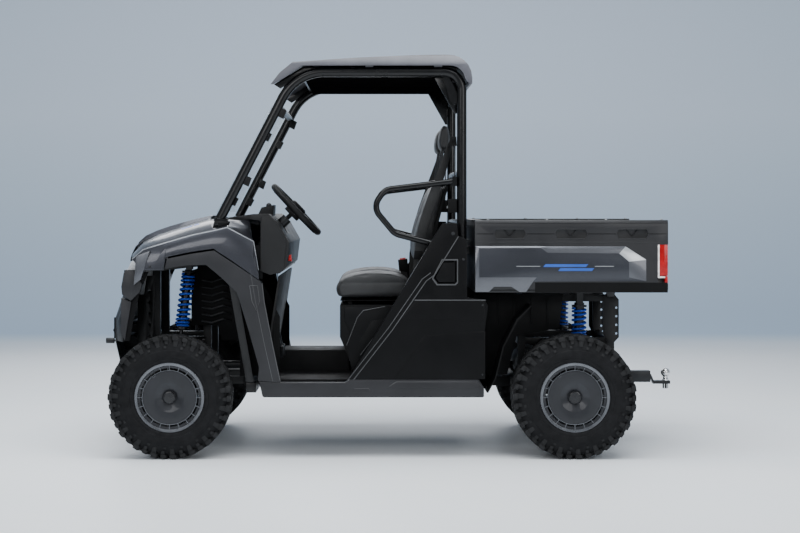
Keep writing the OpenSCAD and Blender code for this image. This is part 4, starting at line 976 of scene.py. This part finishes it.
# Rows of points across the fender, from the bonnet's edge outwards, going back
ROWS = [[(1.322, 1.022), (1.297, 1.000)], [(1.272, 1.080), (1.240, 1.048)], [(1.190, 1.118), (1.170, 1.070)],
        [(1.130, 1.138), (1.126, 1.083)], [(1.010, 1.176), (1.000, 1.120)], [(0.934, 1.198), (0.887, 1.143)],
        [(0.830, 1.202), (0.817, 1.160)], [(0.740, 1.196), (0.684, 1.090)], [(0.722, 1.190), (0.660, 0.945)]]
nose = Shape()
# Light paint beads along the fender crease and the bonnet's edge: painted highlight lines
run(nose, [r[1] for r in ROWS], 0.6715, 0.0034)
run(nose, [r[0] for r in ROWS[1:7]], 0.4350, 0.0028)


def wing(i, u, t):
    """A point on the fender's upper face: u along from row i, t from the bonnet edge to mid span."""
    def at(r):
        (x0, z0), (x1, z1) = r
        x1, z1 = (x0 + x1) / 2, 0.45 * z0 + 0.55 * z1 + 0.012
        return Vector((x0 + (x1 - x0) * t, 0.436 + 0.134 * t, z0 + (z1 - z0) * t))
    return at(ROWS[i]).lerp(at(ROWS[i + 1]), u) + Vector((0, 0.0006, 0.0012))


# Two blue patches
for patch in (((3, 0.46, 0.30), (3, 0.98, 0.30), (3, 0.98, 0.62), (3, 0.54, 0.62)),
              ((4, 0.06, 0.30), (4, 0.42, 0.30), (4, 0.36, 0.62), (4, 0.06, 0.62))):
    nose.add([wing(*q) for q in patch], [(0, 1, 2, 3)], 1)
strip = [(1.273, 1.017), (1.204, 1.042), (1.251, 0.898), (1.2856, 0.872)]
nose.hexa([(x, 0.642, z) for x, z in strip] + [(x, 0.6965 if i < 3 else 0.690, z) for i, (x, z) in enumerate(strip)], 2)
nose.plate([(1.352, 0.860), (1.340, 0.930), (1.330, 0.945), (1.290, 0.945), (1.248, 0.872), (1.260, 0.834),
            (1.304, 0.790), (1.348, 0.822)], 0.560, 0.668, 3)
nose.slab([(1.355, 0.803), (1.304, 0.784), (1.336, 0.590), (1.358, 0.625)], 0.560, 0.652, 3)
nose.bolt((1.205, 0.6935, 0.962), (0, 1, 0), 0.010, 0.003, 4)
looks = ["crease_highlight_paint", "blue", "trim_mid", "flare_plastic", "dark_steel"]
nose.make("nose_trim", "root", looks, bevel=0.002, mirror=True)

grille = Shape()
for y in (-0.54, 0.54):
    for x, z, r in ((1.300, 0.975, 0.022), (1.312, 0.962, 0.014)):
        grille.tube([(x - 0.02, y, z), (x + 0.006, y, z)], r, 0, 20)
for i in range(5):
    z = 0.580 + i * 0.022
    grille.block((1.428, -0.300, z), (1.4415, 0.300, z + 0.009), 1)
for y in (-0.30, -0.10, 0.10, 0.30):
    grille.block((1.428, y - 0.006, 0.574), (1.4425, y + 0.006, 0.684), 1)
grille.slab([(1.380, 0.852), (1.3835, 0.852), (1.3510, 0.926), (1.3470, 0.926)], -0.400, 0.400, 1)
for y in (-0.34, 0.34):
    grille.bolt((1.4362, y, 0.62), (1, 0, 0), 0.014, 0.005, 2)
grille.make("grille", "root", ["clear_lens", "dark_plastic", "dark_steel"], bevel=0.0015)

door = Shape()
# Beads along the door opening and round the clip, in the lighter plastic: painted highlight lines
run(door, [(0.640, 0.880), (0.628, 0.780), (0.585, 0.560), (0.548, 0.385)], 0.6925, 0.0026)
run(door, [(0.700, 0.950), (0.675, 0.800), (0.625, 0.560), (0.585, 0.385)], 0.6925, 0.0020)
clip = [(0.702, 0.868), (0.662, 0.868), (0.652, 0.790), (0.668, 0.742), (0.690, 0.790)]
run(door, clip + clip[:1], 0.6945, 0.0024)
door.make("fender_beads", "root", ["bead_highlight_plastic"], split=40, mirror=True)

# ---------------------------------------------------------------- liners, hitch ball and cab details

liner = Shape()
liner.plate([(0.560, 0.395), (0.766, 0.395), (0.766, 0.905), (0.660, 0.905), (0.560, 0.700)], 0.500, 0.508)
liner.plate([(0.700, 0.560), (0.880, 0.560), (0.900, 0.640), (1.040, 0.640), (1.040, 0.930), (0.960, 0.955),
             (0.700, 0.955)], 0.262, 0.268)
liner.plate([(1.120, 1.020), (1.000, 1.055), (0.887, 1.075), (0.700, 0.960), (0.700, 0.930), (0.860, 1.010),
             (1.000, 0.995), (1.120, 0.975)], 0.628, 0.634)
liner.plate([(0.640, 0.900), (0.690, 0.900), (0.690, 1.070), (0.640, 1.070)], 0.628, 0.634)
liner.plate([(-0.440, 0.400), (-0.440, 0.815), (-0.900, 0.815), (-0.880, 0.640), (-0.660, 0.600), (-0.610, 0.400)],
            0.470, 0.478)
for i in range(5):
    x = 0.590 + i * 0.038
    liner.block((x, 0.506, 0.430), (x + 0.010, 0.512, 0.690 + i * 0.045), 0)
for i in range(4):
    x = -0.560 - i * 0.085
    liner.block((x - 0.012, 0.476, 0.660), (x, 0.483, 0.800), 0)
for i in range(7):
    z = 0.665 + i * 0.036
    liner.tube([(0.830, 0.270, z), (0.870, 0.285, z + 0.01), (0.930, 0.285, z - 0.01), (0.985, 0.270, z)], 0.005, 1, 8)
liner.make("wheel_liner_walls", "root", ["dark_plastic", "dark_steel"], bevel=0.001, mirror=True)

BALL_X, BALL_Z, BALL_R = -1.5055, 0.3663, 0.02485
ball = Shape()
sphere = [math.radians(-62 + i * 152 / 20) for i in range(20)]
sphere = [(BALL_R * math.cos(a), BALL_Z + BALL_R * math.sin(a)) for a in sphere]
for profile, steps in (
        ([(0.0112, 0.3470), *sphere, (0.0001, 0.3915)], 48),
        ([(0.0001, 0.3330), (0.0160, 0.3232), (0.0168, 0.3235), (0.0168, 0.3310), (0.0120, 0.3370),
          (0.0112, 0.3475)], 48),
        ([(0.0001, 0.2805), (0.0150, 0.2805), (0.0160, 0.2815), (0.0160, 0.3060), (0.0001, 0.3065)], 6)):
    ball.ring(profile, steps, upright_at=(BALL_X, 0))
ball.make("hitch_ball", "root", ["chrome", "steel"], split=35)

cab = Shape()
# The steering wheel's axis, its centre and the two directions in its plane
N, C, U, V = Vector((-0.722, 0, 0.692)), Vector((0.484, 0.330, 1.251)), Vector((0.692, 0, 0.722)), Vector((0, 1, 0))
for a in (0.0, 120.0, 240.0):
    d = math.cos(math.radians(a)) * U + math.sin(math.radians(a)) * V
    w = N.cross(d)
    p = [C + d * r + w * q + N * 0.003 for r, q in ((0.035, -0.016), (0.035, 0.016), (0.160, 0.011), (0.160, -0.011))]
    cab.hexa(p + [v + N * 0.008 for v in p], 0)
n = 24
hub = [C + 0.048 * (math.cos(a) * U + math.sin(a) * V * 1.15) for a in (2 * math.pi * i / n for i in range(n))]
cab.add(hub + [v + N * 0.022 for v in hub] + [C + (v - C) * 0.75 + N * 0.030 for v in hub], tube_faces(3, n), 1)
cab.make("wheel_spokes", "steering_wheel", ["dash_plastic", "body_plastic"], bevel=0.002)

panel = Shape()
for y in (-0.42, -0.20, 0.06):
    panel.block((0.545, y - 0.055, 1.020), (0.560, y + 0.055, 1.075), 1)
    for i in range(4):
        panel.block((0.541, y - 0.050, 1.026 + i * 0.012), (0.548, y + 0.050, 1.030 + i * 0.012), 0)
panel.hexa([(0.600, 0.215, 1.215), (0.600, 0.445, 1.215), (0.680, 0.445, 1.218), (0.680, 0.215, 1.218),
            (0.596, 0.235, 1.275), (0.596, 0.425, 1.275), (0.660, 0.425, 1.262), (0.660, 0.235, 1.262)], 1)
panel.tube([(0.520, 0.500, 1.000), (0.500, 0.500, 1.002)], [0.014, 0.018], 2, 20)
panel.tube([(0.535, 0.140, 1.000), (0.515, 0.140, 1.002)], [0.014, 0.018], 0, 20)
for i in range(4):
    panel.block((0.519, -0.090 + i * 0.035, 0.975), (0.530, -0.066 + i * 0.035, 1.005), 1)
panel.make("dash_details", "root", ["body_plastic", "dark_plastic", "red"], bevel=0.0015)

posts = Shape()
posts.slab([(-0.230, 1.926), (-0.346, 1.926), (-0.346, 1.740), (-0.334, 1.740)], 0.574, 0.582)
for x, z in ((-0.268, 1.905), (-0.330, 1.905), (-0.336, 1.790)):
    posts.bolt((x, 0.582, z), (0, 1, 0), 0.012, 0.005, 1)
FOOT, TOP = Vector((0.858, 0.600, 1.206)), Vector((0.474, 0.600, 1.950))
for t in (0.257, 0.720):
    p = FOOT.lerp(TOP, t)
    clamp = [(p.x + dx, p.z + dz) for dx, dz in ((-0.044, -0.030), (-0.012, -0.014), (-0.028, 0.030), (-0.060, 0.014))]
    posts.slab(clamp, 0.570, 0.612, 2)
posts.plate([(0.586, 1.888), (0.440, 1.977), (-0.310, 2.000), (-0.366, 1.975), (-0.310, 1.950), (0.420, 1.948),
             (0.500, 1.900), (0.552, 1.866)], 0.590, 0.595)
for x, y in ((0.826, 0.578), (0.826, 0.622), (0.880, 0.578), (0.880, 0.622)):
    posts.bolt((x, y, 1.2062), (0, 0, 1), 0.012, 0.006, 1)
posts.make("cage_fittings", "root", ["black", "dark_steel", "grip"], bevel=0.0012, mirror=True)

# A dark matt sheet with ribs under the roof: painted shade of the roof's underside
shade_sheet = Shape()
shade_sheet.block((-0.345, -0.572, 1.915), (0.430, 0.572, 1.923), 0)
for y in (-0.38, 0.0, 0.38):
    shade_sheet.block((-0.330, y - 0.012, 1.911), (0.415, y + 0.012, 1.916), 0)
shade_sheet.make("roof_shade_sheet", "root", ["roof_underside_shade"], bevel=0.002)

# ---------------------------------------------------------------- floor


floor_mat = Nodes("studio_floor", rough=0.5)
height = floor_mat.axis("Z")
# The wall is painted darker at its foot and top and lighter about 2.25 m up: a painted pool of light on the backdrop
back = floor_mat.ramp(floor_mat.spread(height, 0, 1, 0.0, 9.0), (0.0, (0.50, 0.63, 0.78)),
                      (0.25, (0.71, 0.81, 0.93)), (0.7, (0.61, 0.70, 0.84)))
pale = floor_mat.ramp(floor_mat.cloud(1.2, 4), (0.3, (0.91, 0.94, 0.97)), (0.7, (0.94, 0.96, 0.98)))
floor_mat.colour(floor_mat.mix(floor_mat.spread(height, 0, 1, 0.0, 0.10), pale, back))
floor_mat.bump(floor_mat.cloud(90, 3), 0.05, 0.001)
# A level floor that curves up into a wall behind the vehicle
FLOOR_FRONT, COVE_Y, COVE_R, WALL_TOP, HALF_WIDTH = 9, -6, 3, 9, 30
cove = [math.radians(a) for a in range(0, 91, 9)]
profile = [(COVE_Y - COVE_R * math.sin(a), COVE_R - COVE_R * math.cos(a)) for a in cove]
profile = [(FLOOR_FRONT, 0), *profile, (COVE_Y - COVE_R, WALL_TOP)]
me = bpy.data.meshes.new("floor")
me.from_pydata([(x, y, z) for y, z in profile for x in (-HALF_WIDTH, HALF_WIDTH)], [],
               [(2 * i, 2 * i + 1, 2 * i + 3, 2 * i + 2) for i in range(len(profile) - 1)])
me.update()
me.materials.append(floor_mat.m)
for f in me.polygons:
    f.use_smooth = True
floor = bpy.data.objects.new("floor", me)
S.collection.objects.link(floor)
